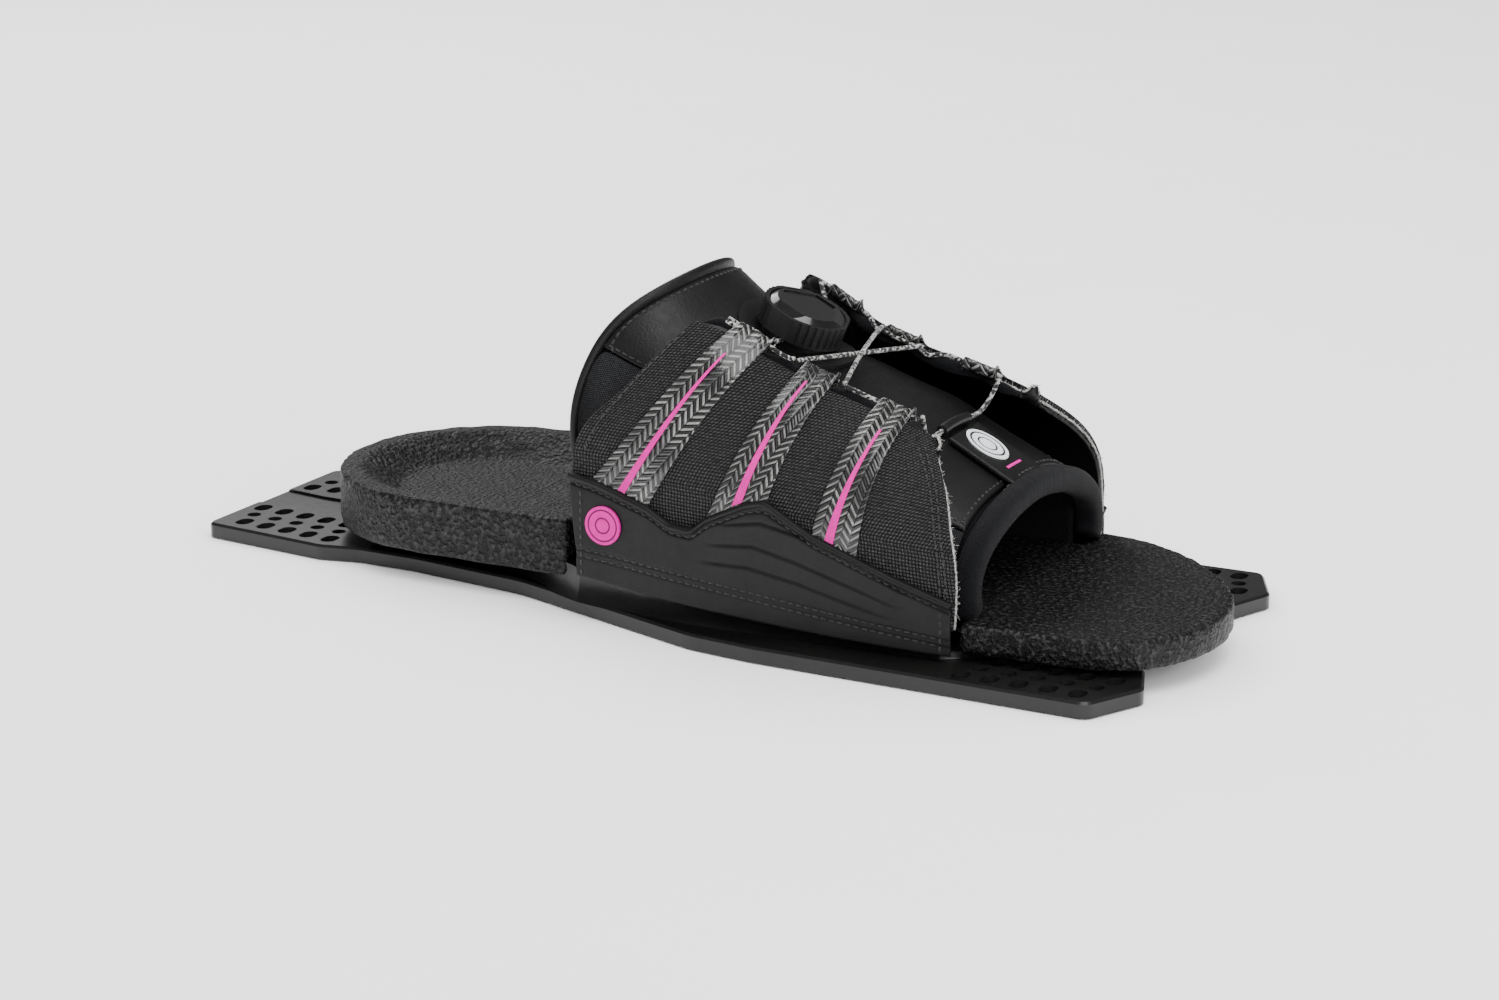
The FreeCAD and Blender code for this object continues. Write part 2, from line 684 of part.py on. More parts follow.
def hem_line(x, lift):
    """Top of the fixed hem, where the panel starts to flex."""
    slope = (HEM_TOP_FRONT - HEM_TOP_REAR) / (PANEL_TOE[-1][0] - PANEL_REAR[0][0])
    return HEM_TOP_REAR + slope * (x - PANEL_REAR[0][0]) + lift


def panel_region():
    """Side view of the right panel."""
    outline = [spline(PANEL_REAR), spline(PANEL_TOP), spline(PANEL_TOE)]
    return side_cutter(outline + lines([PANEL_TOE[-1], PANEL_REAR[0]]), -90, 0)


def quad_cutter(corners):
    points = [(x, 0, z) for x, z in corners]
    return side_cutter(lines(points + points[:1]), -90, 0)


def rand_region(low_rear, low_front):
    """Side view of the rubber rand, from a straight line up to its seam."""
    corners = [(RAND_SEAM[-1][0], 0, low_front), (RAND_SEAM[0][0], 0, low_rear)]
    return side_cutter(lines(RAND_SEAM + corners + RAND_SEAM[:1]), -90, 0)


def make_hem():
    """Right hem: the fixed foot of the upper, turned in under the footbed."""
    wall = arch_band(PANEL_ROWS, RAND, -PANEL)
    x0 = PANEL_REAR[0][0]
    x1 = PANEL_TOE[-1][0]
    wall = wall.common(quad_cutter([(x0, 3), (x0, hem_line(x0, -0.4)),
                                    (x1, hem_line(x1, -0.4)), (x1, 3)]))
    flange = block(x0, UPPER_FRONT, -FLANGE_OUTER_Y, -FLANGE_INNER_Y, 3, 40)
    flange = flange.common(under_deck(GAP + HEM_FLANGE))
    hem = wall.fuse(flange).cut(under_deck(GAP))
    return solid_of(hem.cut(screw_holes(LAYER_HOLE_RADIUS)))


def edge_lace_point(x, side):
    """Where the lace runs, just past the top edge of a panel."""
    z = interpolate([(px, pz) for px, _, pz in PANEL_TOP], x)
    return (x, side * (arch_point(PANEL_ROWS, x, z) - LACE_INSET), z + LACE_LIFT)


def edge_frame(x, z):
    """Point on the right panel's outer skin, its outward normal and the way up the sheet."""
    y = arch_point(PANEL_ROWS, x, z)
    narrowing = (arch_point(PANEL_ROWS, x, z - 0.2) - arch_point(PANEL_ROWS, x, z + 0.2)) / 0.4
    normal = V(0, -1, narrowing).normalize()
    return V(x, -y, z), normal, V(0, normal.z, -normal.y)


def top_trimmer():
    """Everything past the panel's top edge, so that the edge is square to the sheet."""
    wires = []
    ends = [(PANEL_TOP[0][0] - 1.6, 0, PANEL_TOP[0][2] + 0.5),
            (PANEL_TOP[-1][0] + 2.0, 0, PANEL_TOP[-1][2] - 0.7)]
    for x, _, z in [ends[0]] + PANEL_TOP[1:-1] + [ends[1]]:
        edge, normal, up = edge_frame(x, z)
        outer = edge + normal * 3
        inner = edge - normal * 9
        corners = [outer, outer + up * 30, inner + up * 30, inner]
        wires.append(Part.makePolygon(corners + corners[:1]))
    return Part.makeLoft(wires, True, True)


def loop_path(strip):
    """Panel edge along the head of a strip, where its lace loop runs."""
    return edge_run(strip[3][0], strip[2][0], 6, -1)


def strip_loop(strip):
    """Tube at the head of a strip that the lace runs through."""
    path = loop_path(strip)
    return tube_along(path, LOOP_RADIUS).cut(tube_along(path, LOOP_BORE))


def make_panel_parts():
    region = panel_region()
    notches = [tube_along(loop_path(strip), LOOP_RADIUS + GAP) for strip in STRIPS]
    shell = arch_band(PANEL_ROWS, 0, -PANEL).common(region)
    lining = arch_band(PANEL_ROWS, -PANEL - GAP, -PANEL - PANEL_LINING).common(region)
    for cutter in notches + [top_trimmer()]:
        shell = shell.cut(cutter)
        lining = lining.cut(cutter)
    add_pair("panel", solid_of(shell))
    add_pair("panel_lining", solid_of(lining))
    band = arch_band(PANEL_ROWS, GAP + RAND, GAP)
    rand = band.common(rand_region(HEM_TOP_REAR, HEM_TOP_FRONT)).common(panel_region())
    add_pair("rand", solid_of(rand))
    badge_at = V(BADGE_CENTRE[0], -90, BADGE_CENTRE[1])
    button = Part.makeCylinder(BADGE_RADIUS, 80, badge_at, V(0, 1, 0))
    thick = arch_band(PANEL_ROWS, 2 * GAP + RAND + BADGE_THICKNESS, 2 * GAP + RAND)
    add_pair("badge", solid_of(thick.common(button)))
    thin = arch_band(PANEL_ROWS, GAP + STRIP, GAP)
    print_film = arch_band(PANEL_ROWS, 2 * GAP + STRIP + PRINT, 2 * GAP + STRIP)
    clear = rand_region(HEM_TOP_REAR - 12, HEM_TOP_FRONT - 12)
    clear_print = clear.copy()
    clear_print.translate(V(0, 0, 0.3))
    stripes = []
    for name, strip, stripe in zip(STRIP_NAMES, STRIPS, STRIPES):
        tape = thin.common(quad_cutter(strip)).common(region)
        tape = solid_of(tape.cut(clear_print).cut(notches[STRIPS.index(strip)]))
        add_pair(name + "_strip", [tape, strip_loop(strip)])
        (x0, z0), (x1, z1), wide, narrow = stripe
        outline = [(x0 - wide, z0), (x0 + wide, z0), (x1 + narrow, z1), (x1 - narrow, z1)]
        line = print_film.common(quad_cutter(outline)).cut(clear_print)
        stripes.append(solid_of(line))
    add_pair("stripes", stripes)


def add_pair(name, shape):
    add("right_" + name, shape)
    add("left_" + name, mirror(shape))


# ------------------------------------------------------------------ dial closure

def ring(outer, inner, low, high):
    tube = Part.makeCylinder(outer, high - low, V(0, 0, low))
    if inner:
        tube = tube.cut(Part.makeCylinder(inner, high - low, V(0, 0, low)))
    return tube


def seat(shape):
    """Move a dial part from the dial's own axis to its place on the tongue."""
    placed = shape.copy()
    placed.rotate(V(0, 0, 0), V(0, 1, 0), DIAL_TILT)
    placed.translate(V(*DIAL_SEAT))
    return placed


def dial_well():
    """Round room for the housing, cut into the base and the leather under it."""
    floor = V(0, 0, WELL_FLOOR)
    return seat(Part.makeCylinder(HOUSING_RADIUS + BORE_CLEARANCE, 30, floor))


def make_dial_base():
    """Sewn foot that follows the tongue, with a round boss for the housing."""
    foot = arch_band(TONGUE_ROWS, BASE_THICKNESS, GAP)
    disc = seat(Part.makeCylinder(BASE_RADIUS, 30, V(0, 0, -15)))
    foot = foot.common(disc)
    boss = seat(ring(BOSS_RADIUS, 0, -3, BOSS_TOP)).cut(arch_solid(TONGUE_ROWS, GAP))
    return solid_of(foot.fuse(boss).cut(dial_well()))


def ratchet_teeth():
    """Cutter for the inward saw teeth at the top of the housing."""
    points = []
    for tooth in range(RATCHET_TEETH):
        start = 2 * math.pi * tooth / RATCHET_TEETH
        ramp = start + 2 * math.pi / RATCHET_TEETH * 0.85
        points.append((CHAMBER_RADIUS * math.cos(start), CHAMBER_RADIUS * math.sin(start), 0))
        root = CHAMBER_RADIUS + TOOTH_DEPTH
        points.append((root * math.cos(ramp), root * math.sin(ramp), 0))
    return Part.Wire(lines(points + points[:1]))


def make_housing():
    low = WELL_FLOOR + GAP
    cup = ring(HOUSING_RADIUS, 0, low, HOUSING_TOP)
    cup = cup.cut(ring(CHAMBER_RADIUS, 0, low + HOUSING_FLOOR, HOUSING_TOP + 1))
    cup = cup.cut(prism(ratchet_teeth(), DRIVE_LOW - 0.1, 9))
    cup = cup.fuse(ring(POST_RADIUS, 0, low, POST_TOP))
    for y in (-1, 1):
        port = Part.makeCylinder(LACE_RADIUS + 0.35, 14, V(0, 0, LACE_PORT_HEIGHT), V(0, y, 0))
        port = port.cut(ring(CHAMBER_RADIUS - 1, 0, 0, 9))
        cup = cup.cut(port)
    cup = cup.cut(ring(0.9, 0, 5.0, 11))
    return seat(solid_of(cup))


def make_spool():
    bore = POST_RADIUS + BORE_CLEARANCE
    low_flange = ring(SPOOL_RADIUS, bore, SPOOL_LOW, SPOOL_LOW + SPOOL_FLANGE)
    high_flange = ring(SPOOL_RADIUS, bore, SPOOL_TOP - SPOOL_FLANGE, SPOOL_TOP)
    core = ring(SPOOL_CORE, bore, SPOOL_LOW, SPOOL_TOP)
    spool = low_flange.fuse(high_flange).fuse(core)
    for index in range(3):
        angle = math.radians(120 * index)
        foot = V(SPOOL_DOG_CIRCLE * math.cos(angle), SPOOL_DOG_CIRCLE * math.sin(angle),
                 SPOOL_TOP - 0.3)
        spool = spool.cut(Part.makeCylinder(0.8, 0.5, foot))
    return seat(solid_of(spool))


def make_lace_coil():
    """Lace wound on the spool."""
    middle = V(0, 0, (SPOOL_LOW + SPOOL_TOP) / 2)
    return [seat(Part.makeTorus(radius, COIL_WIRE, middle)) for radius in COIL_RADII]


def leg_foot(index, height):
    """Where one of the knob's three legs meets the drive ring."""
    angle = math.radians(120 * index + 60)
    return V(LEG_CIRCLE * math.cos(angle), LEG_CIRCLE * math.sin(angle), height)


def make_drive_ring():
    """Disc with three sprung pawls that ride on the housing's teeth."""
    disc = ring(DRIVE_RADIUS, POST_RADIUS + BORE_CLEARANCE, DRIVE_LOW, DRIVE_TOP)
    for index in range(3):
        arm = block(-1.0, PAWL_REACH, PAWL_LOW, PAWL_TOP, DRIVE_LOW, DRIVE_TOP)
        arm.rotate(V(0, 0, 0), V(0, 0, 1), 120 * index)
        disc = disc.fuse(arm)
    for index in range(3):
        disc = disc.cut(Part.makeCylinder(LEG_HOLE_RADIUS, 4, leg_foot(index, DRIVE_LOW - 1)))
    return seat(solid_of(disc))


def make_knob():
    """Hard carrier under the cap, with three legs into the drive ring."""
    rim = KNOB_RADIUS - GRIP_WALL - GAP
    plate = ring(rim, 3.4, KNOB_LOW, KNOB_TOP)
    skirt = ring(rim, HOUSING_RADIUS + 0.15, SKIRT_LOW, KNOB_LOW + 0.2)
    knob = plate.fuse(skirt)
    for index in range(3):
        foot = leg_foot(index, DRIVE_LOW + 0.1)
        knob = knob.fuse(Part.makeCylinder(LEG_RADIUS, KNOB_LOW - DRIVE_LOW, foot))
    return seat(solid_of(knob))


def make_grip():
    """Rubber tyre with three ribbed lobes and three smooth flanks."""
    grip = ring(KNOB_RADIUS, 0, GRIP_LOW, CAP_TOP - 1.2)
    for index in range(3):
        flank = block(FLANK_RADIUS, 20, -12, 12, GRIP_LOW - 1, CAP_TOP)
        flank.rotate(V(0, 0, 0), V(0, 0, 1), LOBE_ANGLE + 60 + 120 * index)
        grip = grip.cut(flank)
    grip = grip.cut(ring(KNOB_RADIUS - GRIP_WALL, 0, GRIP_LOW - 1, CAP_TOP))
    for index in range(GRIP_RIBS):
        from_lobe = (360 * index / GRIP_RIBS - LOBE_ANGLE + 60) % 120 - 60
        if abs(from_lobe) > RIBBED_HALF_ANGLE:
            continue
        groove_foot = V(KNOB_RADIUS + RIB_GROOVE / 3, 0, GRIP_LOW + 0.8)
        groove = Part.makeCylinder(RIB_GROOVE, 12, groove_foot)
        groove.rotate(V(0, 0, 0), V(0, 0, 1), 360 * index / GRIP_RIBS)
        grip = grip.cut(groove)
    return seat(solid_of(grip))


def make_cap():
    """Hard cap: a low cone with three slanted bars round a shallow inset."""
    low = KNOB_TOP + GAP
    cone = Part.makeCone(CAP_LOW_RADIUS, CAP_TOP_RADIUS, CAP_TOP - low, V(0, 0, low))
    for index in range(3):
        bar = lines([(CAP_BAR_LOW, 0, low), (CAP_BAR_TOP, 0, CAP_TOP + 0.01), (20, 0, CAP_TOP + 0.01),
                     (20, 0, low), (CAP_BAR_LOW, 0, low)])
        bar = side_cutter(bar, -20, 20)
        bar.rotate(V(0, 0, 0), V(0, 0, 1), LOBE_ANGLE + 60 + 120 * index)
        cone = cone.cut(bar)
    corners = []
    for index in range(3):
        for turn in (-INSET_CORNER, INSET_CORNER):
            angle = math.radians(LOBE_ANGLE + 120 * index + turn)
            corners.append((INSET_REACH * math.cos(angle), INSET_REACH * math.sin(angle), 1.2))
    cone = cone.cut(prism(rounded_outline(corners), CAP_TOP - INSET_DEPTH, CAP_TOP + 1))
    room = ring(3.2, 0, KNOB_TOP, KNOB_TOP + 0.9)
    return seat(solid_of(cone.cut(room)))


def make_dial_screw():
    head = ring(3.1, 0, 10.25, 11.0)
    shank = ring(0.85, 0, 5.4, 10.25)
    return seat(solid_of(head.fuse(shank)))


def make_detent():
    """Open spring ring that holds the knob up or down on its post."""
    torus = Part.makeTorus(2.45, 0.4, V(0, 0, 8.5))
    return seat(solid_of(torus.cut(block(1.5, 4, -0.5, 0.5, 7, 10))))


def make_dial_parts():
    add("dial_base", make_dial_base())
    add("dial_housing", make_housing())
    add("lace_spool", make_spool())
    add("lace_coil", make_lace_coil())
    add("drive_ring", make_drive_ring())
    add("dial_knob", make_knob())
    add("dial_grip", make_grip())
    add("dial_cap", make_cap())
    add("dial_screw", make_dial_screw())
    add("detent_spring", make_detent())


# ------------------------------------------------------------------ toe tab and lace

def make_toe_tab():
    """Leather strap over the toe end of the ridge."""
    band = arch_band(TONGUE_ROWS, 2.6, 0.9)
    window = block(TAB_REAR, TAB_FRONT, -TAB_HALF_WIDTH, TAB_HALF_WIDTH, 30, 70)
    return solid_of(band.common(window))


def make_tab_emblem():
    """Plain raised disc on the strap."""
    band = arch_band(TONGUE_ROWS, 3.0, 2.65)
    button = Part.makeCylinder(EMBLEM_RADIUS, 60, V(EMBLEM_X, 0, 20))
    return solid_of(band.common(button))


def crown_path(x, lift, half_angle, count=7):
    """Points across the ridge at x, a little above the leather."""
    half_width = interpolate([(row[0], row[1]) for row in TONGUE_ROWS], x)
    spring = interpolate([(row[0], row[2]) for row in TONGUE_ROWS], x)
    rise = tongue_apex(x) - spring
    points = []
    for step in range(count):
        angle = math.radians(-half_angle + 2 * half_angle * step / (count - 1))
        points.append((x, half_width * math.sin(angle),
                       spring + rise * math.cos(angle) + lift))
    return points


def tube_along(points, radius):
    """Round bar along a smooth curve, in short straight lengths."""
    path = spline(points)
    first, last = path.FirstParameter, path.LastParameter
    count = TUBE_LENGTHS * (len(points) - 1)
    rings = []
    for step in range(count + 1):
        at = first + (last - first) * step / count
        circle = Part.Circle(path.valueAt(at), path.tangentAt(at), radius)
        circle.XAxis = V(0, 0.3, 1).cross(circle.Axis)
        rings.append(Part.Wire([circle.toShape()]))
    return Part.makeLoft(rings, True, True)


def make_toe_guide():
    path = crown_path(GUIDE_X, GUIDE_LIFT, GUIDE_HALF_ANGLE)
    return solid_of(tube_along(path, GUIDE_RADIUS).cut(tube_along(path, LACE_RADIUS + 0.25)))


def port_point(side, reach):
    """Where the lace leaves the housing, at a distance from the dial's axis."""
    local = V(0, side * reach, LACE_PORT_HEIGHT)
    tilt = FreeCAD.Rotation(V(0, 1, 0), DIAL_TILT)
    return tuple(tilt.multVec(local) + V(*DIAL_SEAT))


def edge_run(x0, x1, count, side):
    """Lace along a panel's top edge."""
    xs = [x0 + (x1 - x0) * step / (count - 1) for step in range(count)]
    return [edge_lace_point(x, side) for x in xs]


def bypass(x):
    """Left lace beside the middle loop, clear of the lace that runs through it."""
    px, y, z = edge_lace_point(x, 1)
    return (px, y - BYPASS_INBOARD, z - BYPASS_DROP)


def make_lace():
    right_rear = edge_run(LACE_REAR, NEAR_CROSS_START, 11, -1)
    right_front = edge_run(NEAR_CROSS_END, LACE_FRONT, 11, -1)
    left_middle = edge_run(FAR_CROSS_START, FAR_CROSS_END, 8, 1)
    left_around = edge_run(LACE_REAR, 37.0, 9, 1)
    left_around += [bypass(x) for x in (42.0, 46.0, 50.0, 54.0, 58.0)]
    left_around += edge_run(63.0, LACE_FRONT, 9, 1)
    add("right_lace_run", [tube_along(run, LACE_RADIUS) for run in (right_rear, right_front)])
    add("left_lace_run", [tube_along(run, LACE_RADIUS) for run in (left_around, left_middle)])
    rear = span(right_rear[-1], left_middle[-1], 0.0)
    front = span(right_front[0], left_middle[0], CROSSING_RISE)
    add("rear_lace_cross", tube_along(rear, LACE_RADIUS))
    add("front_lace_cross", tube_along(front, LACE_RADIUS))
    crown = crown_path(GUIDE_X, GUIDE_LIFT, GUIDE_HALF_ANGLE + 2)
    toe = [lace_end(right_front[-1], -1)] + crown + [lace_end(left_around[-1], 1)]
    add("toe_lace_span", tube_along(toe, LACE_RADIUS))
    leads = []
    for side, run in ((-1, right_rear), (1, left_around)):
        start = port_point(side, 9.4)
        bend = port_point(side, 14.5)
        leads.append(tube_along([start, bend, lace_end(run[0], side)], LACE_RADIUS))
    add("dial_lace_leads", leads)


def lace_end(end, side):
    """End of a free span, inboard of a panel's lace and a little above it."""
    x, y, z = end
    return (x, y - side * END_INBOARD, z + END_RISE)


def short_of(end, start, distance=1.2):
    """A point just before the end, so that a free span doesn't touch a panel's lace."""
    way = V(*end) - V(*start)
    return tuple(V(*end) - way * (distance / way.Length))


def span(start, end, rise):
    """A free span between two panel edges, bowed up by a rise at its middle."""
    low = short_of(start, end)
    high = short_of(end, start)
    middle = (V(*low) + V(*high)) * 0.5 + V(0, 0, rise)
    return [low, tuple(middle), high]


# ------------------------------------------------------------------ build

def build():
    add("base_plate", make_base_plate())
    add("threaded_inserts", make_inserts())
    add("clamp_screws", make_screws())
    add("lasting_board", make_board())
    bar = make_bar()
    add("left_clamp_bar", bar)
    add("right_clamp_bar", mirror(bar))
    add("footbed", make_footbed())
    add_pair("hem", make_hem())
    make_tongue_parts()
    make_panel_parts()
    make_dial_parts()
    add("toe_tab", make_toe_tab())
    add("tab_emblem", make_tab_emblem())
    add("toe_lace_guide", make_toe_guide())
    make_lace()


build()
os.makedirs("parts", exist_ok=True)
for node, shape in NODES.items():
    shape.exportStep("parts/" + node + ".step")
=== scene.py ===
import math

import bpy
import numpy as np
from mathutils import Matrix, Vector
from mathutils.bvhtree import BVHTree


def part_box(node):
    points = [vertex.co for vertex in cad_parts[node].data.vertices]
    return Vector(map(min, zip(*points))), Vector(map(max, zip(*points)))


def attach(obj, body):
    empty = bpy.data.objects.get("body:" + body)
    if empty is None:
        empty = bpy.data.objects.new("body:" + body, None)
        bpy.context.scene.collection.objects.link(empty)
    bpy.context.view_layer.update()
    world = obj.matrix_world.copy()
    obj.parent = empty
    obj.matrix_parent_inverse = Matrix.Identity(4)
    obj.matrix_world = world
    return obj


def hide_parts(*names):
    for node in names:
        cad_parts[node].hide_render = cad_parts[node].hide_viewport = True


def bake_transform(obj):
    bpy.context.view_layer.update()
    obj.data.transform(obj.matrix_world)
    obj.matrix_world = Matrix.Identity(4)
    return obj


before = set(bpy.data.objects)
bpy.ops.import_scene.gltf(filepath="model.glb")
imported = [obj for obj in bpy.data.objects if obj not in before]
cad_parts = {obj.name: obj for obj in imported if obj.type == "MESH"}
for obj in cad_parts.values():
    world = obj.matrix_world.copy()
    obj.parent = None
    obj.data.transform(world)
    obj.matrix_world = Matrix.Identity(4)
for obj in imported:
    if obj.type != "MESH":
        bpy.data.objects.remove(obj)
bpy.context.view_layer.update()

# Looks of a water-ski rear toe binding. Lengths are in millimetres until a mesh is made.
# Every soft piece is built on the skin of the CAD node that it stands for.

METRE = 0.001
SIDES = (("right", -1), ("left", 1))
STRIP_NAMES = ("rear", "middle", "front")
AXIS_HEIGHT = 30.0  # of the foot tunnel
FAR = 120.0  # where rays start, outside the object
MISS_REACH = 85.0  # along a ray that misses
MISS_SIDE = 50.0
UP = np.array((0.0, 0.0, 1.0))
rng = np.random.default_rng(7)

# ---- upper ----
PANEL_SHEET = 1.7
LINING_SHEET = 1.9
LINING_DEPTH = 1.85
LIP_LEAN = 0.2
TOE_CORNER_X = 86.0
SCALLOP = 3.2
EDGE_ROUNDING = 0.8
# Ridge lines of the rand in side view, as (x, z).
CHEVRONS = [[(35, 34.6), (45.6, 36.5), (57.3, 34.4), (75.4, 28.6), (88, 22.6)],
            [(31, 28.3), (43.3, 29.6), (57.2, 26.7), (75.5, 21.6), (86, 18.4)],
            [(28.7, 23), (41.8, 23.4), (57.3, 21), (74, 17.2), (84, 15.0)]]
HEM_ROWS = [((-12.9, 21.5), (99, 11.1)), ((-12.9, 19.4), (99, 9.2))]
TOE_STITCH_INSETS = (2.6, 4.2)
REAR_STITCH = [(-11.5, 50.0), (-7.9, 58.2), (2.6, 71.4), (13.2, 83.8)]

# ---- camera ----
CAMERA_TARGET = (37.5, -46.06, 40.0)
CAMERA_BACK = (0.4514, -0.8500, 0.2716)
CAMERA_DISTANCE = 1000.0
CAMERA_LENS = 86.94

PINK = (0.6, 0.0, 0.27)


# ---- reading the frame

def read(items, key, width=3, kind=float):
    """A property of all of a mesh's items, as rows."""
    values = np.empty(len(items) * width, dtype=kind)
    items.foreach_get(key, values)
    return values.reshape(-1, width)


class Skin:
    """Finds points on the surface of a CAD node."""

    def __init__(self, node):
        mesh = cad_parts[node].data
        mesh.calc_loop_triangles()
        self.points = read(mesh.vertices, "co") / METRE
        self.edges = read(mesh.edges, "vertices", 2, int)
        triangles = read(mesh.loop_triangles, "vertices", 3, int)
        self.tree = BVHTree.FromPolygons(self.points.tolist(), triangles.tolist())
        self.low = self.points.min(0)
        self.high = self.points.max(0)

    def ray(self, start, direction):
        """First point hit, or the nearest one to where the hit was expected."""
        hit = self.tree.ray_cast(Vector(start), Vector(direction))[0]
        if hit is None:
            aim = Vector(start) + Vector(direction).normalized() * MISS_REACH
            hit = self.tree.find_nearest(aim)[0]
        return np.array(hit)

    def side(self, x, z, sign):
        """Outer skin seen from the right (-1) or the left (1)."""
        hit = self.tree.ray_cast(Vector((x, sign * FAR, z)), Vector((0, -sign, 0)))[0]
        if hit is None:
            near = self.tree.find_nearest(Vector((x, sign * MISS_SIDE, z)))[0]
            return np.array((x, near[1], z))
        return np.array(hit)

    def below(self, x, y):
        """Skin seen from above."""
        return self.ray((x, y, FAR), -UP)

    def around(self, x, angle, inner=False):
        """Skin at an angle from straight up, about the tunnel's axis."""
        centre = np.array((x, 0.0, AXIS_HEIGHT))
        way = np.array((0.0, math.sin(angle), math.cos(angle)))
        if inner:
            return self.ray(centre, way)
        return self.ray(centre + way * FAR, -way)

    def section(self, axis, value):
        """Points where the node's edges cross a plane."""
        a = self.points[self.edges[:, 0]]
        b = self.points[self.edges[:, 1]]
        da = a[:, axis] - value
        db = b[:, axis] - value
        crossed = da * db < 0
        share = (da[crossed] / (da[crossed] - db[crossed]))[:, None]
        return a[crossed] + (b[crossed] - a[crossed]) * share

    def limit(self, axis, value, along, high):
        """Highest or lowest coordinate of the section at a value."""
        value = min(max(value, self.low[axis] + 0.05), self.high[axis] - 0.05)
        reached = self.section(axis, value)[:, along]
        return reached.max() if high else reached.min()


class Curve:
    """A limit of a node as a function, sampled once."""

    def __init__(self, skin, axis, along, high, low=None, count=60):
        low = skin.low[axis] + 0.1 if low is None else low
        self.at = np.linspace(low, skin.high[axis] - 0.1, count)
        self.values = np.array([skin.limit(axis, value, along, high) for value in self.at])

    def __call__(self, value):
        return np.interp(value, self.at, self.values)


SKINS = {}


def skin(node):
    if node not in SKINS:
        SKINS[node] = Skin(node)
    return SKINS[node]


# ---- meshes

def unit(vectors):
    return vectors / np.maximum(np.linalg.norm(vectors, axis=-1, keepdims=True), 1e-9)


def smooth(points, rounds=2, axis=0):
    """Average each point with its neighbours along one axis, ends kept."""
    points = np.moveaxis(points.copy(), axis, 0)
    for _ in range(rounds):
        points[1:-1] = 0.25 * points[:-2] + 0.5 * points[1:-1] + 0.25 * points[2:]
    return np.moveaxis(points, 0, axis)


def steps(count, fine=3):
    """Shares from 0 to 1, with extra ones close to both ends."""
    shares = np.linspace(0, 1, count)
    gap = shares[1]
    extra = gap * np.linspace(0, 1, fine + 1)[1:-1]
    extra = np.concatenate([[gap * 0.1], extra])
    return np.unique(np.concatenate([shares, extra, 1 - extra]).round(6))


def smooth_grid(grid, rounds):
    return smooth(smooth(np.array(grid), rounds, 0), rounds, 1)


def grid_normals(grid):
    return unit(np.cross(np.gradient(grid, axis=0), np.gradient(grid, axis=1)))


def faces_inward(grid, away):
    return (grid_normals(grid) * away).sum(-1).mean() < 0


def outward_normals(grid, away):
    normals = grid_normals(grid)
    return -normals if faces_inward(grid, away) else normals


def repeated(way, count):
    return np.repeat(np.array(way, dtype=float)[None], count, axis=0)


def arc_lengths(grid, axis):
    lengths = np.linalg.norm(np.diff(grid, axis=axis), axis=-1)
    pad = [(0, 0), (0, 0)]
    pad[axis] = (1, 0)
    return np.pad(np.cumsum(lengths, axis=axis), pad)


def grid_faces(rows, columns, start=0, flip=False, wrap=False):
    """Quads of a grid of vertices; wrap joins the last column to the first."""
    across = columns if wrap else columns - 1
    row = np.arange(rows - 1)[:, None] * columns
    column = np.arange(across)[None, :]
    following = (column + 1) % columns
    quads = np.stack([row + column, row + columns + column,
                      row + columns + following, row + following], axis=-1).reshape(-1, 4)
    quads = quads + start
    return quads[:, ::-1] if flip else quads


def add_object(name, data):
    made = bpy.data.objects.new(name, data)
    bpy.context.scene.collection.objects.link(made)
    return made


def stands_for(piece, body, slot, *nodes):
    """Put a piece on a body, in place of the CAD nodes given."""
    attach(piece, body)
    if nodes:
        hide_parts(*nodes)


def make_object(name, vertices, faces, uv, look):
    """Mesh object from millimetre vertices, with UVs in millimetres."""
    mesh = bpy.data.meshes.new(name)
    mesh.from_pydata((np.asarray(vertices) * METRE).tolist(), [], [list(f) for f in faces])
    layer = mesh.uv_layers.new(name="UVMap")
    corners = read(mesh.loops, "vertex_index", 1, int)[:, 0]
    layer.data.foreach_set("uv", np.asarray(uv)[corners].astype(np.float32).ravel())
    mesh.shade_smooth()
    mesh.materials.append(LOOKS[look])
    mesh.validate()
    mesh.update()
    return add_object(name, mesh)


def sheet(name, grid, thickness, look, away, height=None, rounding=EDGE_ROUNDING, v_start=0.0):
    """Closed sheet under a grid of skin points, with rounded edges."""
    height = np.zeros(grid.shape[:2]) if height is None else height
    if faces_inward(grid, away):
        grid, height = grid[:, ::-1], height[:, ::-1]
    normals = grid_normals(grid)
    rows, columns = grid.shape[:2]
    u = arc_lengths(grid, 0)
    v = arc_lengths(grid, 1)
    border = np.minimum(np.minimum(u, u[-1:] - u), np.minimum(v, v[:, -1:] - v))
    swell = np.sqrt(np.clip(1 - (1 - np.clip(border / rounding, 0, 1)) ** 2, 0.01, 1))
    half = thickness / 2
    middle = grid - normals * half
    top = middle + normals * (half * swell + height)[..., None]
    low = middle - normals * (half * swell)[..., None]
    count = rows * columns
    faces = [grid_faces(rows, columns), grid_faces(rows, columns, count, flip=True)]
    index = np.arange(count).reshape(rows, columns)
    ring = np.concatenate([index[0, :-1], index[:-1, -1], index[-1, :0:-1], index[:0:-1, 0]])
    following = np.roll(ring, -1)
    faces.append(np.stack([ring, following, following + count, ring + count], axis=-1))
    uv = np.stack([u.ravel(), (v + v_start).ravel()], axis=-1)
    vertices = np.concatenate([top.reshape(-1, 3), low.reshape(-1, 3)])
    return make_object(name, vertices, np.concatenate(faces), np.concatenate([uv, uv]), look)


